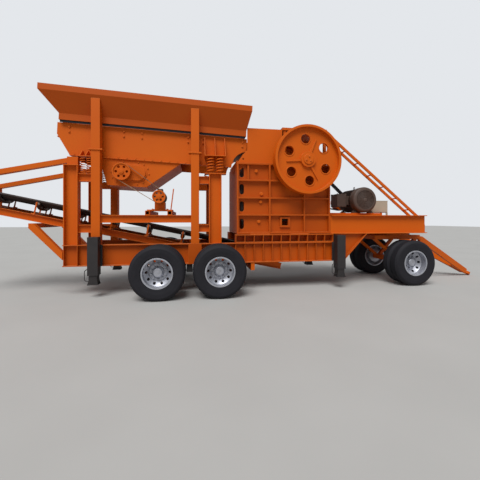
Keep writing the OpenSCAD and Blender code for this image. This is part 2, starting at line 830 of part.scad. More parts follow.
module exciter_box() color(paint) difference() {
  union() {
    on_feeder() upright(-feed_half_w, feed_half_w) exciter_outline();
    along(exciter_x) translate([0, 0, exciter_z]) rotate([0, feed_tilt, 0])
      upright(-guard_face, -feed_half_w + 1) guard_outline(guard_r - 30);
    along(exciter_x) translate([0, 0, exciter_z]) rotate([0, feed_tilt, 0])
      upright(-feed_half_w - guard_t / 3, -feed_half_w + 1) guard_outline(guard_r);
  }
  on_feeder() upright(-feed_inner, feed_inner) exciter_inside();
  along(exciter_x) translate([0, 0, exciter_z])
    turned_y(exciter_shaft_d / 2 + run_fit, -guard_face - 1, -feed_inner + 1);
}

// Coil spring stood in for by its rings on a core, with a seat at each end
module coil(d, h, n) {
  wire = d * 0.14;
  core = d / 2 - wire * 0.7;
  cylinder(r = core, h = h);
  for (i = [0 : n - 1])
    translate([0, 0, wire / 2 + i * (h - wire) / (n - 1)])
      rotate_extrude() translate([d / 2 - wire / 2, 0]) circle(r = wire / 2, $fn = 24);
}

module feeder_springs() color(paint) both_sides() {
  for (i = [-0.5, 0.5])
    along(spring_post_x + i * spring_pitch) translate([0, -beam_y, spring_post_top + seat_gap])
      coil(spring_d, front_seat_z - spring_post_top - 2 * seat_gap, 6);
  for (i = [-0.5, 0.5])
    along(rear_spring_x + i * rear_spring_pitch) translate([0, -beam_y, rail_upper_top + seat_gap])
      coil(rear_spring_d, rear_seat_z - rail_upper_top - 2 * seat_gap, 7);
}

// Feeder motor on its pedestal, with the tension lever
pulley_face = guard_face + 25;
motor_near = -pulley_face;
motor_bed_z = motor_beam_z + motor_beam_h;
bed_bar_t = 30;
lever_h = 450;

module bed_bar(y) block([-260, y, motor_bed_z], [270, y + 120, motor_bed_z + bed_bar_t]);

module feeder_motor() color(motor_brown) along(feed_motor_x) {
  difference() {
    union() {
      translate([0, 0, feed_motor_z]) turned_y(feed_motor_d / 2, motor_near + 40, motor_near + feed_motor_l);
      block([-110, motor_near + 100, motor_bed_z + bed_bar_t],
            [110, motor_near + feed_motor_l - 60, feed_motor_z - 60]);
      block([-60, motor_near + 150, feed_motor_z],
            [60, motor_near + 290, feed_motor_z + feed_motor_d / 2 + 50]);
    }
    translate([0, 0, feed_motor_z])
      turned_y(exciter_shaft_d / 2 + run_fit, motor_near + 39, motor_near + 160);
  }
  for (y = [60, 260]) bed_bar(motor_near + y);
  lever_z = motor_bed_z + bed_bar_t;
  upright(motor_near + 90, motor_near + 120)
    polygon([[215, lever_z], [250, lever_z], [300, lever_z + lever_h], [280, lever_z + lever_h]]);
}

small_belt_t = 12;

module feeder_belt() color(black_paint) along(0)
  belt_loop([exciter_x, exciter_z], exciter_d / 2, [feed_motor_x, feed_motor_z], feed_motor_pulley_d / 2,
            small_belt_t, -pulley_face - small_pulley_w + 14, -pulley_face - 14);

// Crusher side frames: plates with ribs, slots, a square hole and a saddle for the bearings
rib_levels = [frame_rib_t / 2, 410, 780, 1160, crusher_h - frame_rib_t / 2];
rib_places = [frame_rib_t / 2, 725, 1520, crusher_l - frame_rib_t / 2];
square_hole_at = [1085, 0, 253];
liner_t = 100;
mouth_half_w = chamber_half_w - liner_t;
jaw_top = crusher_h - 35;
jaw_seat = 60;

module slot_outline() {
  r = slot_w / 2;
  for (z = [r, slot_h - r]) translate([0, z]) circle(r = r);
  translate([-r, r]) square([slot_w, slot_h - 2 * r]);
}

module crusher_side() {
  outer = -side_face - rib_out;
  frame_w = square_hole + 2 * square_hole_frame;
  difference() {
    union() {
      block([0, -side_face, 0], [crusher_l, -chamber_half_w, crusher_h]);
      for (z = rib_levels)
        block([0, outer, z - frame_rib_t / 2], [crusher_l, -side_face, z + frame_rib_t / 2]);
      for (x = rib_places)
        block([x - frame_rib_t / 2, outer, 0], [x + frame_rib_t / 2, -side_face, crusher_h]);
      block([2 * slot_x, outer + 20, rib_levels[3]], [2 * slot_x + frame_rib_t, -side_face, crusher_h]);
      translate(square_hole_at)
        block([-frame_w / 2, -side_face - 40, -frame_w / 2], [frame_w / 2, -side_face, frame_w / 2]);
      upright(-chamber_half_w, -mouth_half_w)
        polygon([[430, 200], [700, 200], [1380, jaw_top - 100], [1300, jaw_top], [330, jaw_top]]);
    }
    for (i = [0 : 3])
      translate([slot_x, 0, (rib_levels[i] + rib_levels[i + 1]) / 2 - slot_h / 2])
        upright(-side_face - 1, -chamber_half_w + 1) slot_outline();
    translate(square_hole_at)
      block([-square_hole / 2, outer, -square_hole / 2],
            [square_hole / 2, -chamber_half_w + 1, square_hole / 2]);
    translate([shaft_x, 0, shaft_up]) turned_y(housing_d / 2 + seat_gap, outer - 1, -mouth_half_w + 1);
  }
}

module on_crusher() along(crusher_x) translate([0, 0, crusher_foot]) children();

module crusher_side_frames() color(paint) on_crusher() both_sides() crusher_side();

// End walls: the rear one also holds the block behind the toggle plate
toggle_x = crusher_l - 280;
toggle_z = 390;
toggle_t = 50;
block_end = crusher_l - end_t;
toggle_block = [[toggle_x, toggle_z - 90], [block_end, toggle_z - 90], [block_end, toggle_z + 250],
                [toggle_x, toggle_z + 130]];
fixed_jaw_x = 190;
fixed_jaw_t = 130;
fixed_jaw_lean = 100;

module crusher_end_walls() color(paint) on_crusher() {
  block([0, -chamber_half_w, 0], [end_t, chamber_half_w, crusher_h]);
  block([crusher_l - end_t, -chamber_half_w, 0], [crusher_l, chamber_half_w, crusher_h]);
  upright(-mouth_half_w, mouth_half_w) polygon(toggle_block);
  block([end_t, -chamber_half_w, 0],
        [fixed_jaw_x + fixed_jaw_lean + fixed_jaw_t + 10, chamber_half_w, jaw_seat]);
}

// Fixed jaw plate, leaning in towards the discharge
module fixed_jaw() color(bare_steel) on_crusher()
  upright(-mouth_half_w + seat_gap, mouth_half_w - seat_gap)
    translate([fixed_jaw_x, 0])
      polygon([[0, jaw_top], [fixed_jaw_t, jaw_top], [fixed_jaw_t + fixed_jaw_lean, jaw_seat],
               [fixed_jaw_lean, jaw_seat]]);

// Swing jaw hung on the shaft, with the toggle plate behind its foot
jaw_side_gap = 20;
jaw_head_r = 190;

module swing_jaw() color(bare_steel) on_crusher() {
  w = mouth_half_w - jaw_side_gap;
  difference() {
    union() {
      upright(-w, w) polygon([
        [960, jaw_top], [1060, jaw_top], [shaft_x - 110, shaft_up + 140], [shaft_x + 180, shaft_up - 40],
        [shaft_x - 30, jaw_top - 600], [820, jaw_seat + 20], [560, jaw_seat + 20]
      ]);
      translate([shaft_x, 0, shaft_up]) turned_y(jaw_head_r, -w, w);
    }
    translate([shaft_x, 0, shaft_up]) turned_y(shaft_d / 2 + run_fit, -w - 1, w + 1);
  }
  upright(-w + 40, w - 40) polygon([
    [945, 240], [toggle_x, toggle_z], [toggle_x, toggle_z + toggle_t], [985, 240 + toggle_t]
  ]);
}

// Inlet box over the crusher's mouth, with the gussets at its rear corners
module inlet_box() color(paint) on_crusher() {
  top = crusher_h + inlet_h;
  both_sides() {
    block([inlet_x, -side_face, crusher_h], [inlet_x + inlet_l, -side_face + inlet_t, top]);
    difference() {
      upright(-side_face, -side_face + inlet_t) polygon([
        [10, crusher_h], [inlet_x, crusher_h], [inlet_x, crusher_h + 290], [inlet_x - 90, crusher_h + 200]
      ]);
      translate([inlet_x - 90, 0, crusher_h + 95]) turned_y(20, -side_face - 1, -side_face + inlet_t + 1);
    }
  }
  y = side_face - inlet_t;
  block([inlet_x + inlet_l - inlet_t, -y, crusher_h], [inlet_x + inlet_l, y, top]);
  block([10, -y, crusher_h], [10 + inlet_t, y, crusher_h + 60]);
}

// Bearing housings in the saddles of the side frames
ear_l = 270;
ear_h = 60;

module bearing_housings() color(paint) on_crusher() both_sides() {
  outer = -side_face - rib_out;
  difference() {
    union() {
      translate([shaft_x, 0, shaft_up]) turned_y(housing_d / 2, outer, -mouth_half_w - jaw_side_gap);
      block([shaft_x - ear_l, outer, crusher_h], [shaft_x + ear_l, -chamber_half_w, crusher_h + ear_h]);
    }
    translate([shaft_x, 0, shaft_up]) turned_y(shaft_d / 2 + run_fit, outer - 1, -mouth_half_w);
  }
}

// Platform over the bearings, on four feet
platform_x = inlet_x + inlet_l;
platform_z = crusher_h + platform_up;
platform_half_w = side_face + 20;
foot_w = 60;

module top_platform() color(paint) on_crusher() {
  difference() {
    block([platform_x, -platform_half_w, platform_z],
          [platform_x + platform_l, platform_half_w, platform_z + platform_t]);
    block([platform_x + deck_plate_t, -platform_half_w + deck_plate_t, platform_z - 1],
          [platform_x + platform_l - deck_plate_t, platform_half_w - deck_plate_t,
           platform_z + platform_t - deck_plate_t]);
  }
  both_sides() for (x = [platform_x + foot_w / 2, platform_x + platform_l - foot_w - 10])
    block([x, -side_face, crusher_h],
          [x + foot_w, -side_face + foot_w, platform_z + platform_t - deck_plate_t]);
}

// Access ladder from the deck to the platform
ladder_top_z = crusher_foot + platform_z + platform_t;
ladder_top_x = crusher_x + platform_x + platform_l + seat_gap;
ladder_slope = atan2(ladder_top_z - deck_top, ladder_foot_x - ladder_top_x);
ladder_len = norm([ladder_top_z - deck_top, ladder_foot_x - ladder_top_x]);

module ladder() color(paint) along(0) {
  run = stringer_w / sin(ladder_slope);
  for (y = [-ladder_y - ladder_w / 2, -ladder_y + ladder_w / 2 - 30])
    upright(y, y + 30) polygon([
      [ladder_foot_x - run, deck_top], [ladder_foot_x, deck_top],
      [ladder_top_x, ladder_top_z], [ladder_top_x, ladder_top_z - stringer_w / cos(ladder_slope)]
    ]);
  for (s = [rung_pitch / 2 : rung_pitch : ladder_len - run - rung_d])
    translate([ladder_foot_x - run / 2 - s * cos(ladder_slope), 0, deck_top + s * sin(ladder_slope)])
      turned_y(rung_d / 2, -ladder_y - ladder_w / 2 + 15, -ladder_y + ladder_w / 2 - 15);
}

// Main motor: cowl, stator, end shield, feet and terminal box
stator_r = motor_d / 2 - 20;
cowl_l = 190;
shield_l = 90;
rail_y = 270;
rail_gauge = 100;
motor_rail_l = 1360;

module main_motor() color(motor_brown) along(motor_x) translate([0, -motor_face_y, motor_z]) {
  difference() {
    union() {
      turned_y(motor_d / 2, 0, cowl_l);
      turned_y(stator_r, cowl_l, motor_l - shield_l);
      turned_y(stator_r - 50, motor_l - shield_l, motor_l);
      for (y = [motor_face_y - rail_y - 40, motor_face_y + rail_y - 40], x = [-1, 1])
        block([min(x * 130, x * 270), y, -motor_up + motor_rail_h], [max(x * 130, x * 270), y + 80, -120]);
    }
    turned_y(motor_shaft_d / 2 + run_fit, motor_l - 200, motor_l + 1);
  }
  block([-stator_r - 320, 230, -165], [-stator_r - 70, 570, 155]);
  block([-stator_r - 70, 260, -130], [-stator_r + 40, 540, 120]);
  translate([0, 500, stator_r + 25]) turned_y(30, -8, 8);
}

// Bed rails under the motor
module motor_rails() color(paint) along(motor_x) translate([0, 0, deck_top]) {
  for (y = [-rail_y, rail_y])
    block([-850, y - rail_gauge / 2, 0], [motor_rail_l - 850, y + rail_gauge / 2, motor_rail_h]);
  for (x = [-850, motor_rail_l - 850 - rail_gauge])
    block([x, -rail_y, 0], [x + rail_gauge, rail_y, motor_rail_h - 15]);
}

main_belt_t = 18;

module main_belt() color(black_paint) along(0)
  belt_loop([shaft_at, shaft_z], flywheel_d / 2, [motor_x, motor_z], motor_pulley_d / 2,
            main_belt_t, sheave_y + 15, sheave_y + sheave_w - 15);

// Control box on its stand
box_stand_h = 85;

module control_box() color(box_beige) along(motor_x + 602) translate([0, 200, deck_top]) {
  block([0, 0, box_stand_h], [440, 300, 400]);
  for (x = [20, 380], y = [20, 240]) block([x, y, 0], [x + 40, y + 40, box_stand_h]);
}

// Conveyor frame: two channels with ties between them and head and tail plates
head_at = -drum_at;
tail_at = -drum_d / 2 - 60;
chord_start = head_at - 60;
tie_n = floor((conv_l - idler_start - 500) / idler_pitch);

// Place of an idler along the conveyor; half steps lie between two idlers
function idler_x(i) = -idler_start - i * idler_pitch;

module conveyor_frame() color(paint) on_conveyor() {
  both_sides() difference() {
    block([chord_start, -conv_half_w, 0], [0, -conv_half_w + chord_w, chord_h]);
    block([chord_start - 1, -conv_half_w - 1, 8], [1, -conv_half_w + chord_w - 8, chord_h - 8]);
  }
  for (i = [0 : tie_n])
    block([idler_x(i) - 30, -conv_half_w + chord_w - 8, chord_h - 40],
          [idler_x(i) + 30, conv_half_w - chord_w + 8, chord_h - 8]);
  both_sides() for (x = [head_at, tail_at])
    difference() {
      block([x - 60, -conv_half_w + chord_w - 8, 8], [x + 60, -conv_half_w + chord_w, drum_z + 70]);
      translate([x, 0, drum_z]) turned_y(25 + run_fit, -conv_half_w, 0);
    }
}

// Idlers: a flat roller between two leaning ones on brackets, return rollers and drums
wing_angle = 30;
flat_w = 250;
wing_w = (belt_w - flat_w) / 2;
carry_z = drum_z + drum_d / 2;
roller_z = carry_z - roller_d / 2 - belt_gap;

idler_shaft_r = 12;
idler_post_t = 8;
idler_plate_t = 12;
wing_y = flat_w / 2 + (roller_d / 2 + belt_gap) * sin(wing_angle);
wing_z = carry_z - (roller_d / 2 + belt_gap) * cos(wing_angle);
wing_post_y = wing_y + (wing_w + 18) * cos(wing_angle);
wing_post_z = wing_z + (wing_w + 18) * sin(wing_angle) + 20;

module idler() {
  plate_top = chord_h + idler_plate_t;
  block([-30, -conv_half_w + 2, chord_h], [30, conv_half_w - 2, plate_top]);
  translate([0, 0, roller_z]) {
    turned_y(roller_d / 2, -flat_w / 2 + 8, flat_w / 2 - 8);
    turned_y(idler_shaft_r, -flat_w / 2 - 4, flat_w / 2 + 4);
  }
  both_sides() {
    translate([0, -wing_y, wing_z]) rotate([-wing_angle, 0, 0]) {
      turned_y(roller_d / 2, -wing_w + 20, -10);
      turned_y(idler_shaft_r, -wing_w - 20, 20);
    }
    block([-15, -flat_w / 2 - idler_post_t, plate_top - 1], [15, -flat_w / 2, roller_z + 15]);
    block([-15, -wing_post_y, plate_top - 1], [15, -wing_post_y + idler_post_t, wing_post_z]);
  }
}

module conveyor_idlers() color(bare_steel) on_conveyor() {
  for (i = [0 : tie_n]) translate([idler_x(i), 0, 0]) idler();
  for (i = [0 : 2 : tie_n])
    translate([idler_x(i + 0.5), 0, return_roller_d / 2 - belt_gap])
      turned_y(return_roller_d / 2, -conv_half_w + chord_w, conv_half_w - chord_w);
  for (x = [head_at, tail_at]) translate([x, 0, drum_z]) {
    turned_y(drum_d / 2 - belt_gap, -conv_half_w + chord_w + 4, conv_half_w - chord_w - 4);
    turned_y(25, -conv_half_w + 5, conv_half_w - 5);
  }
}

// Belt: flat round the drums and on its way back, troughed where it carries
trough_start = head_at + 300;
trough_end = tail_at - 200;

module conveyor_belt() color(dusty_belt) on_conveyor() {
  difference() {
    upright(-belt_w / 2, belt_w / 2) difference() {
      loop_outline([head_at, drum_z], drum_d / 2 + belt_t, [tail_at, drum_z], drum_d / 2 + belt_t);
      loop_outline([head_at, drum_z], drum_d / 2, [tail_at, drum_z], drum_d / 2);
    }
    both_sides() block([trough_start, -belt_w, drum_z], [trough_end, -flat_w / 2, carry_z + 2 * belt_t]);
  }
  both_sides() translate([trough_start, -flat_w / 2, carry_z]) rotate([-wing_angle, 0, 0])
    block([0, -wing_w, 0], [trough_end - trough_start, 0, belt_t]);
}

// Arms, braces and cross bars that carry the conveyor
arm_drop = 0.212;
arm_h = 97;
arm_y0 = beam_y - 125;
arm_y1 = beam_y - 15;
brace_y0 = beam_y - 40;
brace_y1 = beam_y + 70;
arm_root = corner_top + 170;
head_bar_x = -1910;
brace_bar_x = -560;
tail_bar_x = 3760;
bar_w = 80;
bar_h = 90;

module cross_bar(x, y) {
  top = conv_height(x + bar_w / 2);
  block([x - bar_w / 2, -y, top - bar_h], [x + bar_w / 2, y, top]);
}

function arm_top(x) = arm_root - 30 - arm_drop * (corner_x - 110 - x);

module conveyor_supports() color(paint) along(0) {
  cross_bar(head_bar_x, arm_y1);
  for (x = [brace_bar_x, tail_bar_x]) cross_bar(x, brace_y1);
  brace_top = conv_height(brace_bar_x + bar_w / 2) - bar_h;
  brace_foot = chassis_z + 130;
  both_sides() {
    arm_x = corner_x - 100;
    head_x = head_bar_x - bar_w / 2;
    block([arm_x, -arm_y1, corner_top], [corner_x + 100, -arm_y0, arm_root]);
    upright(-arm_y1, -arm_y0) polygon([
      [arm_x, arm_top(arm_x)], [head_x, arm_top(head_x)],
      [head_x, arm_top(head_x) - arm_h], [arm_x, arm_top(arm_x) - arm_h]
    ]);
    block([head_bar_x - bar_w / 2, -arm_y1, conv_height(head_bar_x + bar_w / 2) - bar_h],
          [head_bar_x + bar_w / 2, -arm_y0, arm_top(head_bar_x) - arm_h / 2]);
    upright(-brace_y1, -brace_y0) polygon([
      [0, brace_foot], [0, brace_foot + 150], [brace_bar_x + bar_w / 2, brace_top + bar_h],
      [brace_bar_x - bar_w / 2, brace_top + bar_h], [brace_bar_x - bar_w / 2, brace_top]
    ]);
    block([tail_bar_x - bar_w / 2, -brace_y1, conv_height(tail_bar_x + bar_w / 2) - 1],
          [tail_bar_x + bar_w / 2, -brace_y0, chassis_z]);
  }
}

// Wheel sets: each stands on its own spindle
rear_mid = rear_outer - (tyre_w + dual_pitch) / 2;
front_mid = front_outer - (tyre_w + dual_pitch) / 2;
hub_back = dual_pitch / 2 + tyre_w / 2 - 5;
spindle_end = 40;

module axle(x, mid) translate([x, 0, axle_z]) {
  y = mid - hub_back - face_gap;
  block([-axle_s / 2, -y, -axle_s / 2], [axle_s / 2, y, axle_s / 2]);
  turned_y(spindle_d / 2, -mid - spindle_end, mid + spindle_end);
}

leaf_w = 80;
leaf_t = 14;
leaf_n = 5;
leaf_half_l = 540;
leaf_y = beam_y - 15;

module leaf_pack(x) {
  for (i = [0 : leaf_n - 1]) {
    half = leaf_half_l - i * 90;
    block([x - half, -leaf_y - leaf_w / 2, axle_z - axle_s / 2 - (i + 1) * leaf_t],
          [x + half, -leaf_y + leaf_w / 2, axle_z - axle_s / 2 - i * leaf_t]);
  }
  for (s = [-1, 1])
    block([min(x + s * 70, x + s * 90), -leaf_y - leaf_w / 2 - 20,
           axle_z - axle_s / 2 - leaf_n * leaf_t - 20],
          [max(x + s * 70, x + s * 90), -leaf_y + leaf_w / 2 + 20,
           min(axle_z + axle_s / 2 + 6, chassis_z - 2)]);
}

module rear_axles() color(black_paint) along(0) {
  for (x = [axle_1_x, axle_2_x]) {
    axle(x, rear_mid);
    both_sides() leaf_pack(x);
  }
  both_sides() for (x = [axle_1_x - leaf_half_l, (axle_1_x + axle_2_x) / 2, axle_2_x + leaf_half_l])
    difference() {
      block([x - 60, -leaf_y - leaf_w / 2 - 12, axle_z - axle_s / 2 - 40],
            [x + 60, -leaf_y + leaf_w / 2 + 12, chassis_z]);
      block([x - 61, -leaf_y - leaf_w / 2, axle_z - axle_s / 2],
            [x + 61, -leaf_y + leaf_w / 2, chassis_z - 16]);
    }
}

tyre_bead = 88;
lip_out = 12;

module tyre() spun_y() {
  r0 = rim_d / 2;
  r1 = tyre_d / 2;
  w = tyre_w / 2;
  polygon([
    [r0, -tyre_bead], [r0 + lip_out + 3, -tyre_bead], [r0 + 40, -w + 12], [r0 + 105, -w],
    [r1 - 45, -w + 8], [r1 - 12, -w + 26], [r1, -w + 42],
    [r1, w - 42], [r1 - 12, w - 26], [r1 - 45, w - 8], [r0 + 105, w], [r0 + 40, w - 12],
    [r0 + lip_out + 3, tyre_bead], [r0, tyre_bead]
  ]);
}

module wheel_place(x, mid, side) along(x) translate([0, side * mid, axle_z])
  rotate([0, 0, side > 0 ? 0 : 180]) children();

module tyre_pair(x, mid, side) color(rubber) wheel_place(x, mid, side)
  for (y = [-dual_pitch / 2, dual_pitch / 2]) translate([0, y, 0]) tyre();

rim_wall = 14;
dish_r = 165;
dish_t = 14;

module rim_half() difference() {
  spun_y() {
    r = rim_d / 2 - seat_gap;
    y0 = dual_pitch / 2 - tyre_bead - 12;
    y1 = dual_pitch / 2 + tyre_bead + 12;
    translate([r - rim_wall, y0]) square([rim_wall, y1 - y0]);
    for (y = [y0, y1 - 11]) translate([r - rim_wall, y]) square([rim_wall + lip_out, 11]);
    polygon([
      [wheel_hub_d / 2 - 10, 0], [dish_r, 0],
      [r - rim_wall / 2, y0 + 40], [r - rim_wall / 2, y0 + 40 + dish_t * 1.3],
      [dish_r, dish_t], [wheel_hub_d / 2 - 10, dish_t]
    ]);
  }
  for (i = [0 : hand_hole_n - 1])
    rotate([0, i * 360 / hand_hole_n, 0]) translate([(dish_r + rim_d / 2) / 2 - 4, 0, 0])
      turned_y(hand_hole_d / 2, -1, dual_pitch);
}

module wheel_hub() spun_y() difference() {
  polygon([
    [0, -hub_back], [wheel_hub_d / 2 + 60, -hub_back], [wheel_hub_d / 2 + 60, -hub_back + 110],
    [wheel_hub_d / 2, -hub_back + 130], [wheel_hub_d / 2, 40], [wheel_hub_d / 2 - 22, 60],
    [wheel_hub_d / 2 - 26, 108], [wheel_hub_d / 2 - 36, 118], [0, 118]
  ]);
  translate([0, -hub_back - 1]) square([spindle_d / 2 + run_fit, hub_back + spindle_end + 6]);
}

module rim_pair(x, mid, side) color(rim_silver) wheel_place(x, mid, side) {
  both_sides() rim_half();
  wheel_hub();
}

module tyres_1_near() tyre_pair(axle_1_x, rear_mid, near);
module tyres_1_far() tyre_pair(axle_1_x, rear_mid, far);
module tyres_2_near() tyre_pair(axle_2_x, rear_mid, near);
module tyres_2_far() tyre_pair(axle_2_x, rear_mid, far);
module tyres_3_near() tyre_pair(axle_3_x, front_mid, near);
module tyres_3_far() tyre_pair(axle_3_x, front_mid, far);
module rims_1_near() rim_pair(axle_1_x, rear_mid, near);
module rims_1_far() rim_pair(axle_1_x, rear_mid, far);
module rims_2_near() rim_pair(axle_2_x, rear_mid, near);
module rims_2_far() rim_pair(axle_2_x, rear_mid, far);
module rims_3_near() rim_pair(axle_3_x, front_mid, near);
module rims_3_far() rim_pair(axle_3_x, front_mid, far);

// Landing legs: fixed outer tubes and sliding inner legs with flared feet
leg_plate_t = 12;
leg_wall = 12;
collar_h = 40;
leg_y = chassis_half_w + leg_plate_t + leg_s / 2;

module leg_housings() color(black_paint) both_sides() for (x = [leg_1_x, leg_2_x]) along(x) {
  difference() {
    translate([0, -leg_y, 0]) block([-leg_s / 2, -leg_s / 2, leg_z], [leg_s / 2, leg_s / 2, leg_top]);
    half = leg_s / 2 - leg_wall;
    slot = leg_inner_s / 2 + face_gap;
    translate([0, -leg_y, 0]) {
      block([-half, -half, leg_z + collar_h], [half, half, leg_top - leg_wall]);
      block([-slot, -slot, leg_z - 1], [slot, slot, leg_z + collar_h + 1]);
    }
  }
  block([-leg_s / 2 - 30, -chassis_half_w - leg_plate_t, chassis_z + 2],
        [leg_s / 2 + 30, -chassis_half_w, chassis_top - 2]);
}

module leg(x, side) color(black_paint) along(x) translate([0, side * leg_y, 0]) {
  half = leg_inner_s / 2;
  block([-half, -half, foot_z], [half, half, leg_top - 60]);
  translate([0, 0, foot_z]) {
    block([-foot_s / 2, -foot_s / 2, 0], [foot_s / 2, foot_s / 2, 16]);
    for (y = [-half, half - 12])
      upright(y, y + 12) polygon([[-foot_s / 2, 16], [foot_s / 2, 16], [half, 90], [-half, 90]]);
  }
}

module leg_rear_near() leg(leg_1_x, near);
module leg_rear_far() leg(leg_1_x, far);
module leg_front_near() leg(leg_2_x, near);
module leg_front_far() leg(leg_2_x, far);

// Shaft, flywheel and drive sheave of the crusher
module on_shaft() along(shaft_at) translate([0, 0, shaft_z]) children();

shaft_near = flywheel_outer - hub_recess + 5;
shaft_far = sheave_y + sheave_w + 10;

module crusher_shaft() color(bare_steel) on_shaft() turned_y(shaft_d / 2, -shaft_near, shaft_far);

module flywheel() color(paint) on_shaft() {
  r = flywheel_d / 2;
  bore = shaft_d / 2 + run_fit;
  face = flywheel_outer - flywheel_recess;
  back = flywheel_outer - flywheel_w;
  difference() {
    union() {
      spun_y() {
        translate([r - flywheel_rim_t, -flywheel_outer]) square([flywheel_rim_t, flywheel_w]);
        translate([bore, -face]) square([r - bore - 1, flywheel_web_t]);
        translate([bore, hub_recess - flywheel_outer]) square([hub_d / 2 - bore, flywheel_w - hub_recess]);
      }
      for (i = [0 : hole_n - 1])
        rotate([0, -36 - i * 360 / hole_n, 0]) translate([hole_circle_r, 0, 0])
          turned_y(hole_d / 2 + 18, -face - 10, -face + 1);
      for (a = [67, 186, 298])
        rotate([0, -a, 0]) upright(-face - 30, -face + 1)
          polygon([[hub_d / 2 - 10, -24], [hub_d / 2 - 10, 24], [480, 8], [480, -8]]);
    }
    for (i = [0 : hole_n - 1])
      rotate([0, -36 - i * 360 / hole_n, 0]) translate([hole_circle_r, 0, 0])
        turned_y(hole_d / 2, -flywheel_outer, -back);
  }
}

groove_d = 22;

module drive_sheave() color(paint) on_shaft() spun_y() {
  r = flywheel_d / 2;
  bore = shaft_d / 2 + run_fit;
  pitch = (sheave_w - 30) / groove_n;
  difference() {
    translate([r - flywheel_rim_t, sheave_y]) square([flywheel_rim_t, sheave_w]);
    for (i = [0 : groove_n - 1])
      translate([r, sheave_y + 15 + (i + 0.5) * pitch])
        polygon([
          [1, -pitch * 0.34], [1, pitch * 0.34], [-groove_d, pitch * 0.18], [-groove_d, -pitch * 0.18]
        ]);
  }
  translate([bore, sheave_y + sheave_w / 2]) square([r - bore - 1, flywheel_web_t]);
  translate([bore, sheave_y + 20]) square([hub_d / 2 - bore, sheave_w - 30]);
}

// Pulleys on their own shafts
module small_pulley(d, w, shaft_r, shaft_l) {
  turned_y(shaft_r, -w / 2 - 6, shaft_l);
  difference() {
    turned_y(d / 2, -w / 2, w / 2);
    turned_y(d / 2 - 22, -w / 2 - 1, -w / 2 + 16);
    for (i = [0 : 5])
      rotate([0, i * 60, 0]) translate([d * 0.3, 0, 0]) turned_y(d * 0.075, -w / 2 - 1, w / 2 + 1);
  }
  turned_y(shaft_r + 20, -w / 2 - 2, -w / 2 + 17);
}

module exciter_pulley() color(paint) along(exciter_x)
  translate([0, -pulley_face - small_pulley_w / 2, exciter_z])
  small_pulley(exciter_d, small_pulley_w, exciter_shaft_d / 2, pulley_face + small_pulley_w / 2 - feed_inner);

module feeder_motor_pulley() color(paint) along(feed_motor_x)
  translate([0, -pulley_face - small_pulley_w / 2, feed_motor_z])
    small_pulley(feed_motor_pulley_d, small_pulley_w, exciter_shaft_d / 2, small_pulley_w / 2 + 150);

module motor_pulley() color(paint) along(motor_x) translate([0, 0, motor_z]) {
  r = motor_pulley_d / 2;
  turned_y(motor_shaft_d / 2, motor_l - motor_face_y - 190, sheave_y + sheave_w + 5);
  difference() {
    turned_y(r, sheave_y, sheave_y + sheave_w);
    turned_y(r - 30, sheave_y + 170, sheave_y + sheave_w + 1);
  }
}

// Steering dolly: lower ring, frame, struts, axle and the drawbar's lugs
dolly_top = base_top - turntable_t - face_gap;
frame_top = dolly_top - turntable_t;
lug_t = 30;
arm_hinge_y = 360;
hinge_pin_d = 40;

module dolly_frame() color(paint) along(axle_3_x) difference() {
  union() {
    difference() {
      translate([0, 0, frame_top]) cylinder(r = turntable_r, h = turntable_t);
      translate([0, 0, frame_top - 1]) cylinder(r = turntable_r - 130, h = turntable_t + 2);
    }
    both_sides() block([-dolly_rear, -dolly_half_w, frame_top - dolly_h],
                       [dolly_front, -dolly_half_w + 100, frame_top]);
    for (x = [-dolly_rear, -60, dolly_front - 100])
      block([x, -dolly_half_w, frame_top - dolly_h], [x + (x == -60 ? 120 : 100), dolly_half_w, frame_top]);
    translate([0, 0, frame_top - dolly_h]) cylinder(r = kingpin_d / 2 + 60, h = dolly_h);
    both_sides() {
      for (s = [[-dolly_rear + 20, -60], [dolly_front - 20, 60]])
        upright(-dolly_half_w + 10, -dolly_half_w + 90) polygon([
          [s[0] - 45, frame_top - dolly_h + 5], [s[0] + 45, frame_top - dolly_h + 5],
          [s[1] + 45, axle_z + axle_s / 2 - 5], [s[1] - 45, axle_z + axle_s / 2 - 5]
        ]);
      for (y = [arm_hinge_y - drawbar_w / 2 - lug_t - face_gap, arm_hinge_y + drawbar_w / 2 + face_gap])
        block([dolly_front - 1, -y - lug_t, drawbar_hinge_z - 45],
              [drawbar_hinge + 35, -y, frame_top]);
      translate([drawbar_hinge, 0, drawbar_hinge_z])
        turned_y(hinge_pin_d / 2, -arm_hinge_y - drawbar_w / 2 - lug_t, -arm_hinge_y + drawbar_w / 2 + lug_t);
    }
    axle(0, front_mid);
  }
  translate([0, 0, frame_top - dolly_h - 1])
    cylinder(r = kingpin_d / 2 + run_fit, h = dolly_h + 2 * turntable_t);
}

// A-shaped drawbar, drawn along its own slope from the hinge to the eye
straight_l = 130;
nose_w = 60;

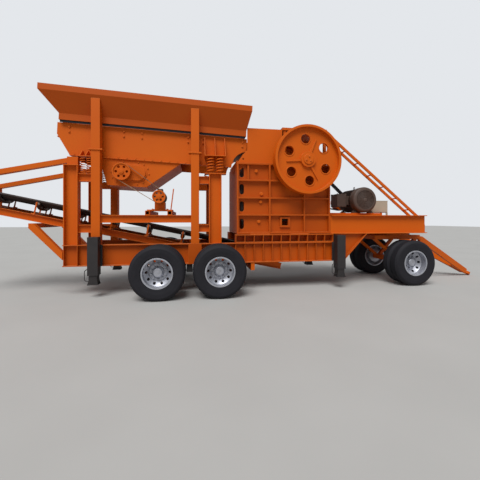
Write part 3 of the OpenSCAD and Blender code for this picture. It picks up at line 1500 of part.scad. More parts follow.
module drawbar() color(paint) along(axle_3_x + drawbar_hinge) translate([0, 0, drawbar_hinge_z])
  rotate([0, drawbar_slope, 0]) {
    end = eye_reach - eye_d / 2 + 10;
    lean = atan2(arm_hinge_y - nose_w / 2, end - straight_l);
    arm_len = norm([arm_hinge_y - nose_w / 2, end - straight_l]);
    both_sides() {
      difference() {
        union() {
          translate([0, -arm_hinge_y, 0]) turned_y(hinge_pin_d / 2 + 25, -drawbar_w / 2, drawbar_w / 2);
          block([0, -arm_hinge_y - drawbar_w / 2, -45], [straight_l, -arm_hinge_y + drawbar_w / 2, 45]);
        }
        turned_y(hinge_pin_d / 2 + run_fit, -arm_hinge_y - drawbar_w, -arm_hinge_y + drawbar_w);
      }
      translate([straight_l, -arm_hinge_y, 0]) rotate([0, 0, lean])
        block([-25, -drawbar_w / 2, -drawbar_h / 2], [arm_len - 40, drawbar_w / 2, drawbar_h / 2]);
    }
    block([end - 420, -nose_w - 20, -drawbar_h / 2 + 10], [end - 20, nose_w + 20, drawbar_h / 2 - 10]);
    block([straight_l + 420, -arm_hinge_y + 60, -40], [straight_l + 500, arm_hinge_y - 60, 40]);
    block([end - 21, -nose_w / 2 - 10, -eye_t / 2], [end + 20, nose_w / 2 + 10, eye_t / 2]);
    translate([eye_reach, 0, -eye_t / 2]) difference() {
      cylinder(r = eye_d / 2, h = eye_t);
      translate([0, 0, -1]) cylinder(r = eye_bore_d / 2, h = eye_t + 2);
    }
  }

chassis_beams();
chassis_cross_members();
crusher_base();
deck_frame();
spring_posts();
hopper_posts();
frame_rails();
hopper();
feeder_trough();
grizzly_bars();
exciter_box();
feeder_springs();
feeder_motor();
feeder_belt();
crusher_side_frames();
crusher_end_walls();
fixed_jaw();
swing_jaw();
inlet_box();
bearing_housings();
top_platform();
ladder();
main_motor();
motor_rails();
main_belt();
control_box();
conveyor_frame();
conveyor_idlers();
conveyor_belt();
conveyor_supports();
rear_axles();
leg_housings();
crusher_shaft();
flywheel();
drive_sheave();
motor_pulley();
exciter_pulley();
feeder_motor_pulley();
dolly_frame();
drawbar();
leg_rear_near();
leg_rear_far();
leg_front_near();
leg_front_far();
tyres_1_near();
tyres_1_far();
tyres_2_near();
tyres_2_far();
tyres_3_near();
tyres_3_far();
rims_1_near();
rims_1_far();
rims_2_near();
rims_2_far();
rims_3_near();
rims_3_far();
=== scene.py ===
"""Looks of a trailer-mounted jaw crushing plant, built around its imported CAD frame."""

import json
import math

import bpy
from mathutils import Matrix, Vector


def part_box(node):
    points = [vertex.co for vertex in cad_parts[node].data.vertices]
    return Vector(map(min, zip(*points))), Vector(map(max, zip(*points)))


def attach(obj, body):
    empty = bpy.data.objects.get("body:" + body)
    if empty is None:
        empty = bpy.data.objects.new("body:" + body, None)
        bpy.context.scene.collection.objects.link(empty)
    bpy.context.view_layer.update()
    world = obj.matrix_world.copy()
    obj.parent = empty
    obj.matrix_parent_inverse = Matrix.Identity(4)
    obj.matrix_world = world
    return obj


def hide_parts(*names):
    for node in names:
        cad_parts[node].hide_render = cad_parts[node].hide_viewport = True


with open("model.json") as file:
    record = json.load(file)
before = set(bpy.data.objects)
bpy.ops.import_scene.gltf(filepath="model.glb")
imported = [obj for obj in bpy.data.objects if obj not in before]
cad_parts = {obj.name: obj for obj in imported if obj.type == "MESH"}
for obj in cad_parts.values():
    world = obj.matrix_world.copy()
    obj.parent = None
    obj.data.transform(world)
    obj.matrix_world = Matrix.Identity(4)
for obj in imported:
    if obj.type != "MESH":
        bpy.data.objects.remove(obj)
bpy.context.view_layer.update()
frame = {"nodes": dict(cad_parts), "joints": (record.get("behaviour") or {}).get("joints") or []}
nodes = frame["nodes"]

# Camera
# It stands at a person's eye height in front of the rear wheels and looks a little towards
# the drawbar end. Places along the machine are counted from the rear end of the chassis.
rear_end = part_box("chassis_beams")[0].x


def along(distance):
    """Place on the machine's length, in metres from the rear end of the chassis."""
    return rear_end + distance


camera_data = bpy.data.cameras.new("camera")
camera_data.sensor_width = 36
camera_data.lens = 21.878
camera_data.shift_y = -0.0418
camera = bpy.data.objects.new("camera", camera_data)
eye_height, stand_off, turned_right = 1.49, 6.87, 9.05
camera.location = (along(2.507), -stand_off, eye_height)
camera.rotation_euler = (math.radians(90), 0, math.radians(-turned_right))
bpy.context.scene.collection.objects.link(camera)
bpy.context.scene.camera = camera
bpy.context.scene.view_settings.view_transform = "Standard"

# Floor, sky and lamps
# A very wide, soft sun stands high in front of the machine, so what faces up or outwards is lit
# and the hopper's overhanging sides fall dark. The floor is plain concrete.


def linear(code):
    """Linear red, green, blue and alpha of an sRGB hex colour."""
    parts = [int(code[i : i + 2], 16) / 255 for i in (1, 3, 5)]
    return [c / 12.92 if c <= 0.04045 else ((c + 0.055) / 1.055) ** 2.4 for c in parts] + [1.0]


def add_node(material, kind, values=None, links=None, **settings):
    """A new node of a material, with its socket values, the sockets it is fed from and its settings."""
    node = material.node_tree.nodes.new(kind)
    for name, value in settings.items():
        setattr(node, name, value)
    for socket, value in (values or {}).items():
        node.inputs[socket].default_value = value
    for socket, source in (links or {}).items():
        material.node_tree.links.new(source, node.inputs[socket])
    return node


def start_material(name):
    """An empty material with its output node and the object's own coordinates."""
    material = bpy.data.materials.new(name)
    material.use_nodes = True
    material.node_tree.nodes.clear()
    place = add_node(material, "ShaderNodeTexCoord").outputs["Object"]
    return material, place


def deselect_all():
    """Clears the selection, because a mesh operator acts on all that is selected."""
    if bpy.context.object and bpy.context.object.mode != "OBJECT":
        bpy.ops.object.mode_set(mode="OBJECT")
    bpy.ops.object.select_all(action="DESELECT")


concrete, place = start_material("poured_concrete")
stain = add_node(concrete, "ShaderNodeTexNoise", {"Scale": 0.7, "Detail": 6.0}, {"Vector": place})
shade = add_node(
    concrete, "ShaderNodeMix", {"A": linear("#A9A8A5"), "B": linear("#B5B4B1")},
    {"Factor": stain.outputs["Fac"]}, data_type="RGBA",
)
shader = add_node(
    concrete, "ShaderNodeBsdfPrincipled", {"Roughness": 0.85}, {"Base Color": shade.outputs["Result"]},
)
add_node(concrete, "ShaderNodeOutputMaterial", links={"Surface": shader.outputs["BSDF"]})

deselect_all()
bpy.ops.mesh.primitive_plane_add(size=120, location=(0, 0, -0.002))
floor = bpy.context.object
floor.name = "floor"
floor.data.materials.append(concrete)

world = bpy.data.worlds.new("bright_sky")
bpy.context.scene.world = world
world.use_nodes = True
world.node_tree.nodes.clear()
rays = add_node(world, "ShaderNodeLightPath")
seen = add_node(
    world, "ShaderNodeMath", None,
    {0: rays.outputs["Is Camera Ray"], 1: rays.outputs["Is Transmission Ray"]}, operation="MAXIMUM",
)
sky_light, sky_seen = 0.45, 1.0
strength = add_node(
    world, "ShaderNodeMix", {"A": sky_light, "B": sky_seen}, {"Factor": seen.outputs["Value"]},
)
sky = add_node(
    world, "ShaderNodeBackground", {"Color": linear("#E4E7EB")}, {"Strength": strength.outputs["Result"]},
)
add_node(world, "ShaderNodeOutputWorld", links={"Surface": sky.outputs["Background"]})

sun_data = bpy.data.lights.new("soft_high_sun", "SUN")
sun_data.energy = 2.85
sun_data.angle = math.radians(35)
sun = bpy.data.objects.new("soft_high_sun", sun_data)
sun_heading = Vector((0.25, 0.55, -0.88))
sun.rotation_euler = sun_heading.to_track_quat("-Z", "Y").to_euler()
bpy.context.scene.collection.objects.link(sun)

# Painted frame
# Posts, rails, deck, platform and ladder are welded from rolled sections and plate and sprayed
# with orange machine enamel. It is half glossy, dusty on top and rubbed pale along its edges.
enamel, place = start_material("orange_machine_enamel")
patches = add_node(enamel, "ShaderNodeTexNoise", {"Scale": 1.1, "Detail": 5.0}, {"Vector": place})
coat = add_node(
    enamel, "ShaderNodeMix", {"A": linear("#C65405"), "B": linear("#D46206")},
    {"Factor": patches.outputs["Fac"]}, data_type="RGBA",
)
surface = add_node(enamel, "ShaderNodeNewGeometry")
up = add_node(enamel, "ShaderNodeSeparateXYZ", links={"Vector": surface.outputs["Normal"]})
lying = add_node(
    enamel, "ShaderNodeMapRange", {"From Min": 0.6, "From Max": 1.0, "To Max": 0.55},
    {"Value": up.outputs["Z"]},
)
grit = add_node(
    enamel, "ShaderNodeTexNoise", {"Scale": 14.0, "Detail": 8.0, "Roughness": 0.7}, {"Vector": place},
)
settled = add_node(
    enamel, "ShaderNodeMath", None,
    {0: lying.outputs["Result"], 1: grit.outputs["Fac"]}, operation="MULTIPLY",
)
dusted = add_node(
    enamel, "ShaderNodeMix", {"B": linear("#A67C55")},
    {"Factor": settled.outputs["Value"], "A": coat.outputs["Result"]}, data_type="RGBA",
)
rounded = add_node(enamel, "ShaderNodeBevel", {"Radius": 0.006}, samples=4)
corner = add_node(
    enamel, "ShaderNodeVectorMath", None,
    {0: rounded.outputs["Normal"], 1: surface.outputs["Normal"]}, operation="DOT_PRODUCT",
)
rubbed = add_node(
    enamel, "ShaderNodeMapRange", {"From Min": 0.99, "From Max": 0.86, "To Max": 0.5},
    {"Value": corner.outputs["Value"]},
)
worn = add_node(
    enamel, "ShaderNodeMix", {"B": linear("#E8924A")},
    {"Factor": rubbed.outputs["Result"], "A": dusted.outputs["Result"]}, data_type="RGBA",
)
gloss = add_node(
    enamel, "ShaderNodeMapRange", {"To Min": 0.42, "To Max": 0.62},
    {"Value": grit.outputs["Fac"]},
)
peel = add_node(enamel, "ShaderNodeTexNoise", {"Scale": 60.0, "Detail": 3.0}, {"Vector": place})
relief = add_node(
    enamel, "ShaderNodeBump", {"Strength": 0.06, "Distance": 0.002},
    {"Height": peel.outputs["Fac"], "Normal": rounded.outputs["Normal"]},
)
shader = add_node(
    enamel, "ShaderNodeBsdfPrincipled", {"Specular IOR Level": 0.2},
    {"Base Color": worn.outputs["Result"], "Roughness": gloss.outputs["Result"],
     "Normal": relief.outputs["Normal"]},
)
add_node(enamel, "ShaderNodeOutputMaterial", links={"Surface": shader.outputs["BSDF"]})


def finish_nodes(material, *names):
    """Gives CAD nodes a material in place of their plain one."""
    for name in names:
        mesh = nodes[name].data
        mesh.materials.clear()
        mesh.materials.append(material)


finish_nodes(
    enamel, "deck_frame", "spring_posts", "hopper_posts", "frame_rails", "feeder_trough", "exciter_box",
    "inlet_box", "bearing_housings", "top_platform", "ladder", "motor_rails", "conveyor_frame",
    "conveyor_supports", "dolly_frame", "drawbar", "flywheel", "drive_sheave", "motor_pulley",
    "exciter_pulley", "feeder_motor_pulley",
)

# Heavy plates
# The chassis, the hopper and the crusher's body are thick rolled plate and heavy beams, welded.
# Their coat is a copy of the same enamel in darker oranges: painted shade for how dark these parts look under
# the light.
shaded_copy_of_enamel = enamel.copy()
shaded_copy_of_enamel.name = "orange_enamel_with_painted_shade"
painted_shade_coat = shaded_copy_of_enamel.node_tree.nodes[coat.name]
# Painted shade: these two oranges are darker than the frame's own enamel.
painted_shade_coat.inputs["A"].default_value = linear("#B24805")
painted_shade_coat.inputs["B"].default_value = linear("#BE5405")
finish_nodes(
    shaded_copy_of_enamel, "chassis_beams", "chassis_cross_members", "crusher_base", "hopper", "crusher_side_frames",
    "crusher_end_walls",
)

# Tyres
# Six pairs of 1.02 m truck tyres of black rubber with straight ribs, vulcanised in a mould,
# mounted two to a hub. Road dust dulls the tread and shoulders.
rubber, place = start_material("vulcanised_rubber")
speckle = add_node(
    rubber, "ShaderNodeTexNoise", {"Scale": 9.0, "Detail": 8.0, "Roughness": 0.65},
    {"Vector": place},
)
tone = add_node(
    rubber, "ShaderNodeMix", {"A": linear("#19191D"), "B": linear("#2B2A2F")},
    {"Factor": speckle.outputs["Fac"]}, data_type="RGBA",
)
dullness = add_node(
    rubber, "ShaderNodeMapRange", {"To Min": 0.55, "To Max": 0.85},
    {"Value": speckle.outputs["Fac"]},
)
pores = add_node(rubber, "ShaderNodeTexNoise", {"Scale": 220.0, "Detail": 2.0}, {"Vector": place})
skin = add_node(
    rubber, "ShaderNodeBump", {"Strength": 0.15, "Distance": 0.001},
    {"Height": pores.outputs["Fac"]},
)
shader = add_node(
    rubber, "ShaderNodeBsdfPrincipled", {"Specular IOR Level": 0.2},
    {"Base Color": tone.outputs["Result"], "Roughness": dullness.outputs["Result"],
     "Normal": skin.outputs["Normal"]},
)
add_node(rubber, "ShaderNodeOutputMaterial", links={"Surface": shader.outputs["BSDF"]})


def spun_ring(name, outline, steps=96):
    """A closed outline of (radius, place on Y) points, spun round the Y axis."""
    deselect_all()
    bpy.ops.mesh.primitive_circle_add(vertices=len(outline), radius=1)
    ring = bpy.context.object
    ring.name = name
    for vertex, (radius, y) in zip(ring.data.vertices, outline):
        vertex.co = (radius, y, 0)
    bpy.ops.object.mode_set(mode="EDIT")
    bpy.ops.mesh.select_all(action="SELECT")
    bpy.ops.mesh.spin(steps=steps, angle=math.tau, center=(0, 0, 0), axis=(0, 1, 0))
    bpy.ops.mesh.select_all(action="SELECT")
    bpy.ops.mesh.remove_doubles(threshold=0.00005)
    bpy.ops.mesh.dissolve_degenerate(threshold=0.00001)
    bpy.ops.mesh.delete_loose(use_verts=True, use_edges=True, use_faces=False)
    bpy.ops.mesh.select_all(action="SELECT")
    bpy.ops.mesh.normals_make_consistent(inside=False)
    bpy.ops.object.mode_set(mode="OBJECT")
    return ring


def smooth(piece, degrees=35):
    """Smooth shading that keeps edges sharper than an angle."""
    deselect_all()
    piece.select_set(True)
    bpy.context.view_layer.objects.active = piece
    bpy.ops.object.shade_smooth_by_angle(angle=math.radians(degrees))


def copy_of(source, name, turn=Matrix.Identity(4), move=(0, 0, 0)):
    """A copy of a piece with a mesh of its own, turned about the origin and then moved."""
    piece = source.copy()
    piece.data = source.data.copy()
    piece.name = name
    bpy.context.scene.collection.objects.link(piece)
    piece.data.transform(Matrix.Translation(move) @ turn)
    return piece


def joined(name, pieces):
    """Pieces joined into one, named, at the origin."""
    deselect_all()
    for piece in pieces:
        piece.select_set(True)
    bpy.context.view_layer.objects.active = pieces[0]
    if len(pieces) > 1:
        bpy.ops.object.join()
    whole = bpy.context.object
    bpy.ops.object.transform_apply(location=True, rotation=True, scale=True)
    whole.name = name
    return whole


def fitted(piece, material, body):
    """A finished piece's material and the body that carries it."""
    piece.data.materials.clear()
    piece.data.materials.append(material)
    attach(piece, body)
    return piece


tread = [(0.496, 0.081), (0.5085, 0.069), (0.5095, 0.053), (0.497, 0.051), (0.497, 0.041), (0.5098, 0.039),
         (0.51, 0.021), (0.498, 0.019), (0.498, 0.009), (0.51, 0.007)]
wall = [(0.2755, 0.0875), (0.2990, 0.0885), (0.3010, 0.0990), (0.308, 0.1035), (0.315, 0.1045),
        (0.322, 0.1035), (0.350, 0.1105), (0.383, 0.1155), (0.414, 0.1170), (0.440, 0.1150),
        (0.448, 0.1165), (0.456, 0.1140), (0.476, 0.1060), (0.486, 0.0960)]
tyre_side = wall + tread
tyre = spun_ring("tyre", tyre_side + [(r, -y) for r, y in reversed(tyre_side)], steps=120)
smooth(tyre, 30)

wheel_pitch = 0.265
wheel_centres = {j["child"]: Vector(j["pos_m"]) for j in frame["joints"] if j["child"].startswith("wheels_")}
for body, centre in wheel_centres.items():
    pair = [copy_of(tyre, "outer", move=centre + Vector((0, wheel_pitch / 2, 0))),
            copy_of(tyre, "inner", move=centre - Vector((0, wheel_pitch / 2, 0)))]
    hub = body.removeprefix("wheels_")
    tyres = joined("tyre_pair_" + hub, pair)
    fitted(tyres, rubber, body)
    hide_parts("tyres_" + hub)
bpy.data.objects.remove(tyre)

# Rims and wheel nuts
# The rims are pressed discs welded into rolled barrels and sprayed silver, with ten hand holes.
# Ten nuts on studs hold each pair to its hub, whose greased cap stands out in the middle.
silver, place = start_material("silver_wheel_paint")
grime = add_node(
    silver, "ShaderNodeTexNoise", {"Scale": 11.0, "Detail": 7.0, "Roughness": 0.7},
    {"Vector": place},
)
dirty = add_node(
    silver, "ShaderNodeMapRange", {"From Min": 0.5, "From Max": 0.8, "To Max": 0.7},
    {"Value": grime.outputs["Fac"]},
)
tone = add_node(
    silver, "ShaderNodeMix", {"A": linear("#B4B6BE"), "B": linear("#6B655F")},
    {"Factor": dirty.outputs["Result"]}, data_type="RGBA",
)
gloss = add_node(
    silver, "ShaderNodeMapRange", {"To Min": 0.3, "To Max": 0.6},
    {"Value": grime.outputs["Fac"]},
)
edge = add_node(silver, "ShaderNodeBevel", {"Radius": 0.003}, samples=4)
shader = add_node(
    silver, "ShaderNodeBsdfPrincipled", {"Metallic": 0.6},
    {"Base Color": tone.outputs["Result"], "Roughness": gloss.outputs["Result"],
     "Normal": edge.outputs["Normal"]},
)
add_node(silver, "ShaderNodeOutputMaterial", links={"Surface": shader.outputs["BSDF"]})
finish_nodes(silver, *["rims_" + body.removeprefix("wheels_") for body in wheel_centres])


def hex_bolt(name, across, length, washer=0.003):
    """Hex bolt or nut with a rounded-off head and a washer, standing on the origin along +Y."""
    deselect_all()
    bpy.ops.mesh.primitive_cylinder_add(
        vertices=6, radius=across / 2 / math.cos(math.pi / 6), depth=length,
        location=(0, length / 2 + washer, 0), rotation=(math.radians(-90), 0, 0),
    )
    head = bpy.context.object
    bpy.ops.object.transform_apply(location=True, rotation=True, scale=True)
    for polygon in head.data.polygons:
        polygon.select = polygon.normal.y > 0.9
    bpy.ops.object.mode_set(mode="EDIT")
    bpy.ops.mesh.inset(thickness=across * 0.09, depth=across * 0.07)
    bpy.ops.object.mode_set(mode="OBJECT")
    deselect_all()
    bpy.ops.mesh.primitive_cylinder_add(
        vertices=14, radius=across * 0.8, depth=washer,
        location=(0, washer / 2, 0), rotation=(math.radians(90), 0, 0),
    )
    return joined(name, [bpy.context.object, head])


nut = hex_bolt("nut", 0.032, 0.026)
deselect_all()
bpy.ops.mesh.primitive_cylinder_add(
    vertices=12, radius=0.010, depth=0.05, location=(0, 0.02, 0), rotation=(math.radians(90), 0, 0),
)
nut = joined("nut", [nut, bpy.context.object])
disc_face = 0.0142
nut_circle = 0.137
for body, centre in wheel_centres.items():
    outward = math.copysign(1, centre.y)
    turned_out = Matrix.Rotation(0 if outward > 0 else math.pi, 4, "Z")
    ring = []
    for i in range(10):
        turn = Matrix.Rotation(math.tau * (i + 0.5) / 10, 4, "Y")
        spot = turn @ Vector((nut_circle, disc_face, 0))
        ring.append(copy_of(nut, "n", turn=turned_out, move=centre + turned_out @ spot))
    nuts = joined("wheel_nuts_" + body.removeprefix("wheels_"), ring)
    fitted(nuts, silver, body)
bpy.data.objects.remove(nut)

# Coil springs
# The feeder stands on eight compression springs wound from round bar, painted with the frame:
# two thick ones under each front bracket and two thinner ones at each rear corner.


def coil_spring(name, across, wire, height, turns):
    """A spring standing on the origin: a grid rolled into a round bar and wound on a helix."""
    deselect_all()
    bpy.ops.mesh.primitive_grid_add(x_subdivisions=int(24 * turns), y_subdivisions=10, size=1)
    spring = bpy.context.object
    spring.name = name
    for vertex in spring.data.vertices:
        way, around = vertex.co.x + 0.5, (vertex.co.y + 0.5) * math.tau
        sweep = way * turns * math.tau
        out = (across - wire) / 2 + wire / 2 * math.cos(around)
        rise = wire / 2 + (height - wire) * way + wire / 2 * math.sin(around)
        vertex.co = (out * math.cos(sweep), out * math.sin(sweep), rise)
    bpy.ops.object.mode_set(mode="EDIT")
    bpy.ops.mesh.select_all(action="SELECT")
    bpy.ops.mesh.remove_doubles(threshold=0.0001)
    bpy.ops.mesh.fill_holes(sides=12)
    bpy.ops.mesh.select_all(action="SELECT")
    bpy.ops.mesh.normals_make_consistent(inside=False)
    bpy.ops.object.mode_set(mode="OBJECT")
    smooth(spring, 50)
    return spring


spring_y = 0.685
front_spring = coil_spring("front_spring", 0.168, 0.026, 0.360, 5.5)
rear_spring = coil_spring("rear_spring", 0.108, 0.016, 0.340, 7.5)
spring_seats = ((front_spring, (2.860, 3.056), 2.470), (rear_spring, (0.34625, 0.46225), 2.400))
stood = []
for side in (-1, 1):
    for spring, places, foot in spring_seats:
        for x in places:
            stood.append(copy_of(spring, "s", move=(along(x), side * spring_y, foot)))
springs = joined("coil_springs", stood)
fitted(springs, enamel, "machine")
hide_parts("feeder_springs")
bpy.data.objects.remove(front_spring)
bpy.data.objects.remove(rear_spring)

# Landing legs and rear axles
# Square steel tubes with flared feet, wound down when the plant is parked, and the axle tubes
# with their leaf packs. All of it is sprayed flat black over mill scale.
black, place = start_material("black_chassis_paint")
patch = add_node(
    black, "ShaderNodeTexNoise", {"Scale": 5.0, "Detail": 8.0, "Roughness": 0.7},
    {"Vector": place},
)
tone = add_node(
    black, "ShaderNodeMix", {"A": linear("#17161A"), "B": linear("#332D2B")},
    {"Factor": patch.outputs["Fac"]}, data_type="RGBA",
)
gloss = add_node(
    black, "ShaderNodeMapRange", {"To Min": 0.35, "To Max": 0.7},
    {"Value": patch.outputs["Fac"]},
)
edge = add_node(black, "ShaderNodeBevel", {"Radius": 0.004}, samples=4)
shader = add_node(
    black, "ShaderNodeBsdfPrincipled", None,
    {"Base Color": tone.outputs["Result"], "Roughness": gloss.outputs["Result"],
     "Normal": edge.outputs["Normal"]},
)
add_node(black, "ShaderNodeOutputMaterial", links={"Surface": shader.outputs["BSDF"]})
finish_nodes(
    black, "rear_axles", "leg_housings", "leg_rear_near", "leg_rear_far", "leg_front_near", "leg_front_far",
)

# Jaws, bars, shaft and idlers
# Manganese steel jaw plates, flat grizzly bars, the turned main shaft and the conveyor's rollers
# are left unpainted, and carry a brown-grey film of dust and light rust.
steel, place = start_material("bare_rusted_steel")
rust = add_node(
    steel, "ShaderNodeTexNoise", {"Scale": 7.0, "Detail": 9.0, "Roughness": 0.72},
    {"Vector": place},
)
tone = add_node(
    steel, "ShaderNodeMix", {"A": linear("#6E6A66"), "B": linear("#6A4B39")},
    {"Factor": rust.outputs["Fac"]}, data_type="RGBA",
)
gloss = add_node(steel, "ShaderNodeMapRange", {"To Min": 0.35, "To Max": 0.8}, {"Value": rust.outputs["Fac"]})
edge = add_node(steel, "ShaderNodeBevel", {"Radius": 0.003}, samples=4)
shader = add_node(
    steel, "ShaderNodeBsdfPrincipled", {"Metallic": 0.7},
    {"Base Color": tone.outputs["Result"], "Roughness": gloss.outputs["Result"],
     "Normal": edge.outputs["Normal"]},
)
add_node(steel, "ShaderNodeOutputMaterial", links={"Surface": shader.outputs["BSDF"]})
finish_nodes(steel, "grizzly_bars", "fixed_jaw", "swing_jaw", "crusher_shaft", "conveyor_idlers")

# Conveyor belt
# A rubber belt on fabric plies, joined into a loop round both drums. Stone dust has worn it to
# a dull, streaked brown-grey.
belting, place = start_material("dusty_conveyor_belting")
streaks = add_node(belting, "ShaderNodeMapping", {"Scale": (0.6, 6.0, 6.0)}, {"Vector": place})
dust = add_node(
    belting, "ShaderNodeTexNoise", {"Scale": 2.0, "Detail": 8.0},
    {"Vector": streaks.outputs["Vector"]},
)
tone = add_node(
    belting, "ShaderNodeMix", {"A": linear("#241E1D"), "B": linear("#4A3E38")},
    {"Factor": dust.outputs["Fac"]}, data_type="RGBA",
)
shader = add_node(
    belting, "ShaderNodeBsdfPrincipled", {"Roughness": 0.85},
    {"Base Color": tone.outputs["Result"]},
)
add_node(belting, "ShaderNodeOutputMaterial", links={"Surface": shader.outputs["BSDF"]})
finish_nodes(belting, "conveyor_belt")
finish_nodes(rubber, "main_belt", "feeder_belt")

# Main motor
# A cast-iron squirrel-cage motor of about 75 kW: ribbed stator on four feet, sheet fan cowl with
# a round grille, terminal box on its flank and a lifting eye on top. Its paint is brown with dust.
motor_paint, place = start_material("weathered_motor_paint")
patch = add_node(
    motor_paint, "ShaderNodeTexNoise", {"Scale": 6.0, "Detail": 8.0, "Roughness": 0.7},
    {"Vector": place},
)
tone = add_node(
    motor_paint, "ShaderNodeMix", {"A": linear("#3A2E2A"), "B": linear("#5E4A3E")},
    {"Factor": patch.outputs["Fac"]}, data_type="RGBA",
)
edge = add_node(motor_paint, "ShaderNodeBevel", {"Radius": 0.004}, samples=4)
shader = add_node(
    motor_paint, "ShaderNodeBsdfPrincipled", {"Roughness": 0.6},
    {"Base Color": tone.outputs["Result"], "Normal": edge.outputs["Normal"]},
)
add_node(motor_paint, "ShaderNodeOutputMaterial", links={"Surface": shader.outputs["BSDF"]})


def plate(name, low, high, bevel=0.0):
    """A rectangular piece between two corners, its edges rounded off by a bevel."""
    deselect_all()
    low, high = Vector(low), Vector(high)
    bpy.ops.mesh.primitive_cube_add(size=1, location=(low + high) / 2)
    piece = bpy.context.object
    piece.name = name
    piece.scale = high - low
    bpy.ops.object.transform_apply(location=True, rotation=True, scale=True)
    if bevel:
        bpy.ops.object.mode_set(mode="EDIT")
        bpy.ops.mesh.select_all(action="SELECT")
        bpy.ops.mesh.bevel(offset=bevel, segments=2, affect="EDGES")
        bpy.ops.object.mode_set(mode="OBJECT")
    return piece


upright = Matrix.Rotation(math.pi / 2, 4, "X")


def ribbed_stator(name, inner, outer, y0, y1, ribs, thickness):
    """A drum round the Y axis with straight cooling ribs along it, from y0 to y1."""
    pieces = [spun_ring("drum", [(0, y0), (inner, y0), (inner, y1), (0, y1)], steps=72)]
    half, end_gap = thickness / 2, 0.012
    rib = plate("rib", (inner - 0.01, y0 + end_gap, -half), (outer, y1 - end_gap, half), thickness * 0.3)
    for i in range(ribs):
        pieces.append(copy_of(rib, "r", turn=Matrix.Rotation(math.tau * (i + 0.5) / ribs, 4, "Y")))
    bpy.data.objects.remove(rib)
    return joined(name, pieces)


def fan_cowl(name, radius, face, depth):
    """A sheet cowl round the Y axis that opens at y = face in a ringed grille and runs back by depth."""
    shell = spun_ring("shell", [
        (radius - 0.004, face + depth), (radius, face + depth), (radius, face + 0.052),
        (radius - 0.008, face + 0.026), (radius - 0.026, face + 0.010), (radius - 0.052, face + 0.002),
        (radius * 0.76, face), (radius * 0.76, face + 0.006),
        (radius - 0.054, face + 0.007), (radius - 0.030, face + 0.016), (radius - 0.014, face + 0.032),
        (radius - 0.006, face + 0.054),
    ], steps=96)
    pieces = [shell]
    for share in (0.74, 0.62, 0.50, 0.38, 0.26):
        middle = radius * share
        pieces.append(spun_ring("hoop", [
            (middle - 0.010, face + 0.004), (middle, face - 0.001),
            (middle + 0.010, face + 0.004), (middle, face + 0.007),
        ], steps=72))
    pieces.append(spun_ring("boss", [
        (0, face - 0.002), (radius * 0.14, face - 0.002), (radius * 0.17, face + 0.003),
        (radius * 0.17, face + 0.008), (0, face + 0.008),
    ], steps=48))
    spoke = plate("spoke", (radius * 0.12, face + 0.004, -0.006), (radius * 0.78, face + 0.009, 0.006))
    for i in range(12):
        pieces.append(copy_of(spoke, "s", turn=Matrix.Rotation(math.tau * i / 12, 4, "Y")))
    bpy.data.objects.remove(spoke)
    baffle, behind, thick = radius * 0.78, face + 0.030, 0.004
    pieces.append(spun_ring("dark", [
        (0, behind), (baffle, behind), (baffle, behind + thick), (0, behind + thick),
    ], steps=48))
    return joined(name, pieces)


motor_place = Vector((along(6.588), 0, 1.975))
cowl = fan_cowl("cowl", 0.308, -0.420, 0.190)
smooth(cowl, 40)
stator = ribbed_stator("stator", 0.262, 0.290, -0.245, 0.430, 44, 0.007)
shield = spun_ring("shield", [
    (0, 0.425), (0.262, 0.425), (0.268, 0.445), (0.240, 0.470), (0.170, 0.486), (0.110, 0.500),
    (0.100, 0.519), (0, 0.519),
], steps=72)
smooth(shield, 40)
pieces = [cowl, stator, shield]
for x in (-1, 1):
    for y in (-0.310, 0.230):
        near_x, far_x = sorted((x * 0.150, x * 0.270))
        pieces.append(plate("foot", (near_x, y, -0.313), (far_x, y + 0.080, -0.283), 0.004))
        near_x, far_x = sorted((x * 0.185, x * 0.205))
        pieces.append(plate("web", (near_x, y + 0.006, -0.285), (far_x, y + 0.074, -0.185), 0.003))
        bolt = hex_bolt("bolt", 0.034, 0.022)
        pieces.append(copy_of(bolt, "b", turn=upright, move=(x * 0.236, y + 0.04, -0.283)))
        bpy.data.objects.remove(bolt)
main_motor = joined("main_motor_body", pieces)
main_motor.data.transform(Matrix.Translation(motor_place))
fitted(main_motor, motor_paint, "machine")
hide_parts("main_motor")

neck = plate("neck", (-0.370, -0.140, -0.110), (-0.235, 0.100, 0.110), 0.006)
box = plate("box", (-0.608, -0.188, -0.163), (-0.362, 0.148, 0.130), 0.010)
lid = plate("lid", (-0.610, -0.190, 0.128), (-0.360, 0.150, 0.153), 0.006)
pieces = [neck, box, lid]
bolt = hex_bolt("bolt", 0.020, 0.010)
for x in (-0.590, -0.380):
    for y in (-0.170, 0.130):
        pieces.append(copy_of(bolt, "b", turn=upright, move=(x, y, 0.152)))
bpy.data.objects.remove(bolt)
deselect_all()
bpy.ops.mesh.primitive_torus_add(major_radius=0.030, minor_radius=0.008, major_segments=32, minor_segments=12,
                                 location=(0, 0.080, 0.322), rotation=(math.radians(90), 0, math.radians(90)))
pieces.append(bpy.context.object)
deselect_all()
bpy.ops.mesh.primitive_cylinder_add(vertices=20, radius=0.017, depth=0.03, location=(0, 0.080, 0.285))
pieces.append(bpy.context.object)
terminal_box = joined("motor_terminal_box_and_eye", pieces)
terminal_box.data.transform(Matrix.Translation(motor_place))
fitted(terminal_box, motor_paint, "machine")

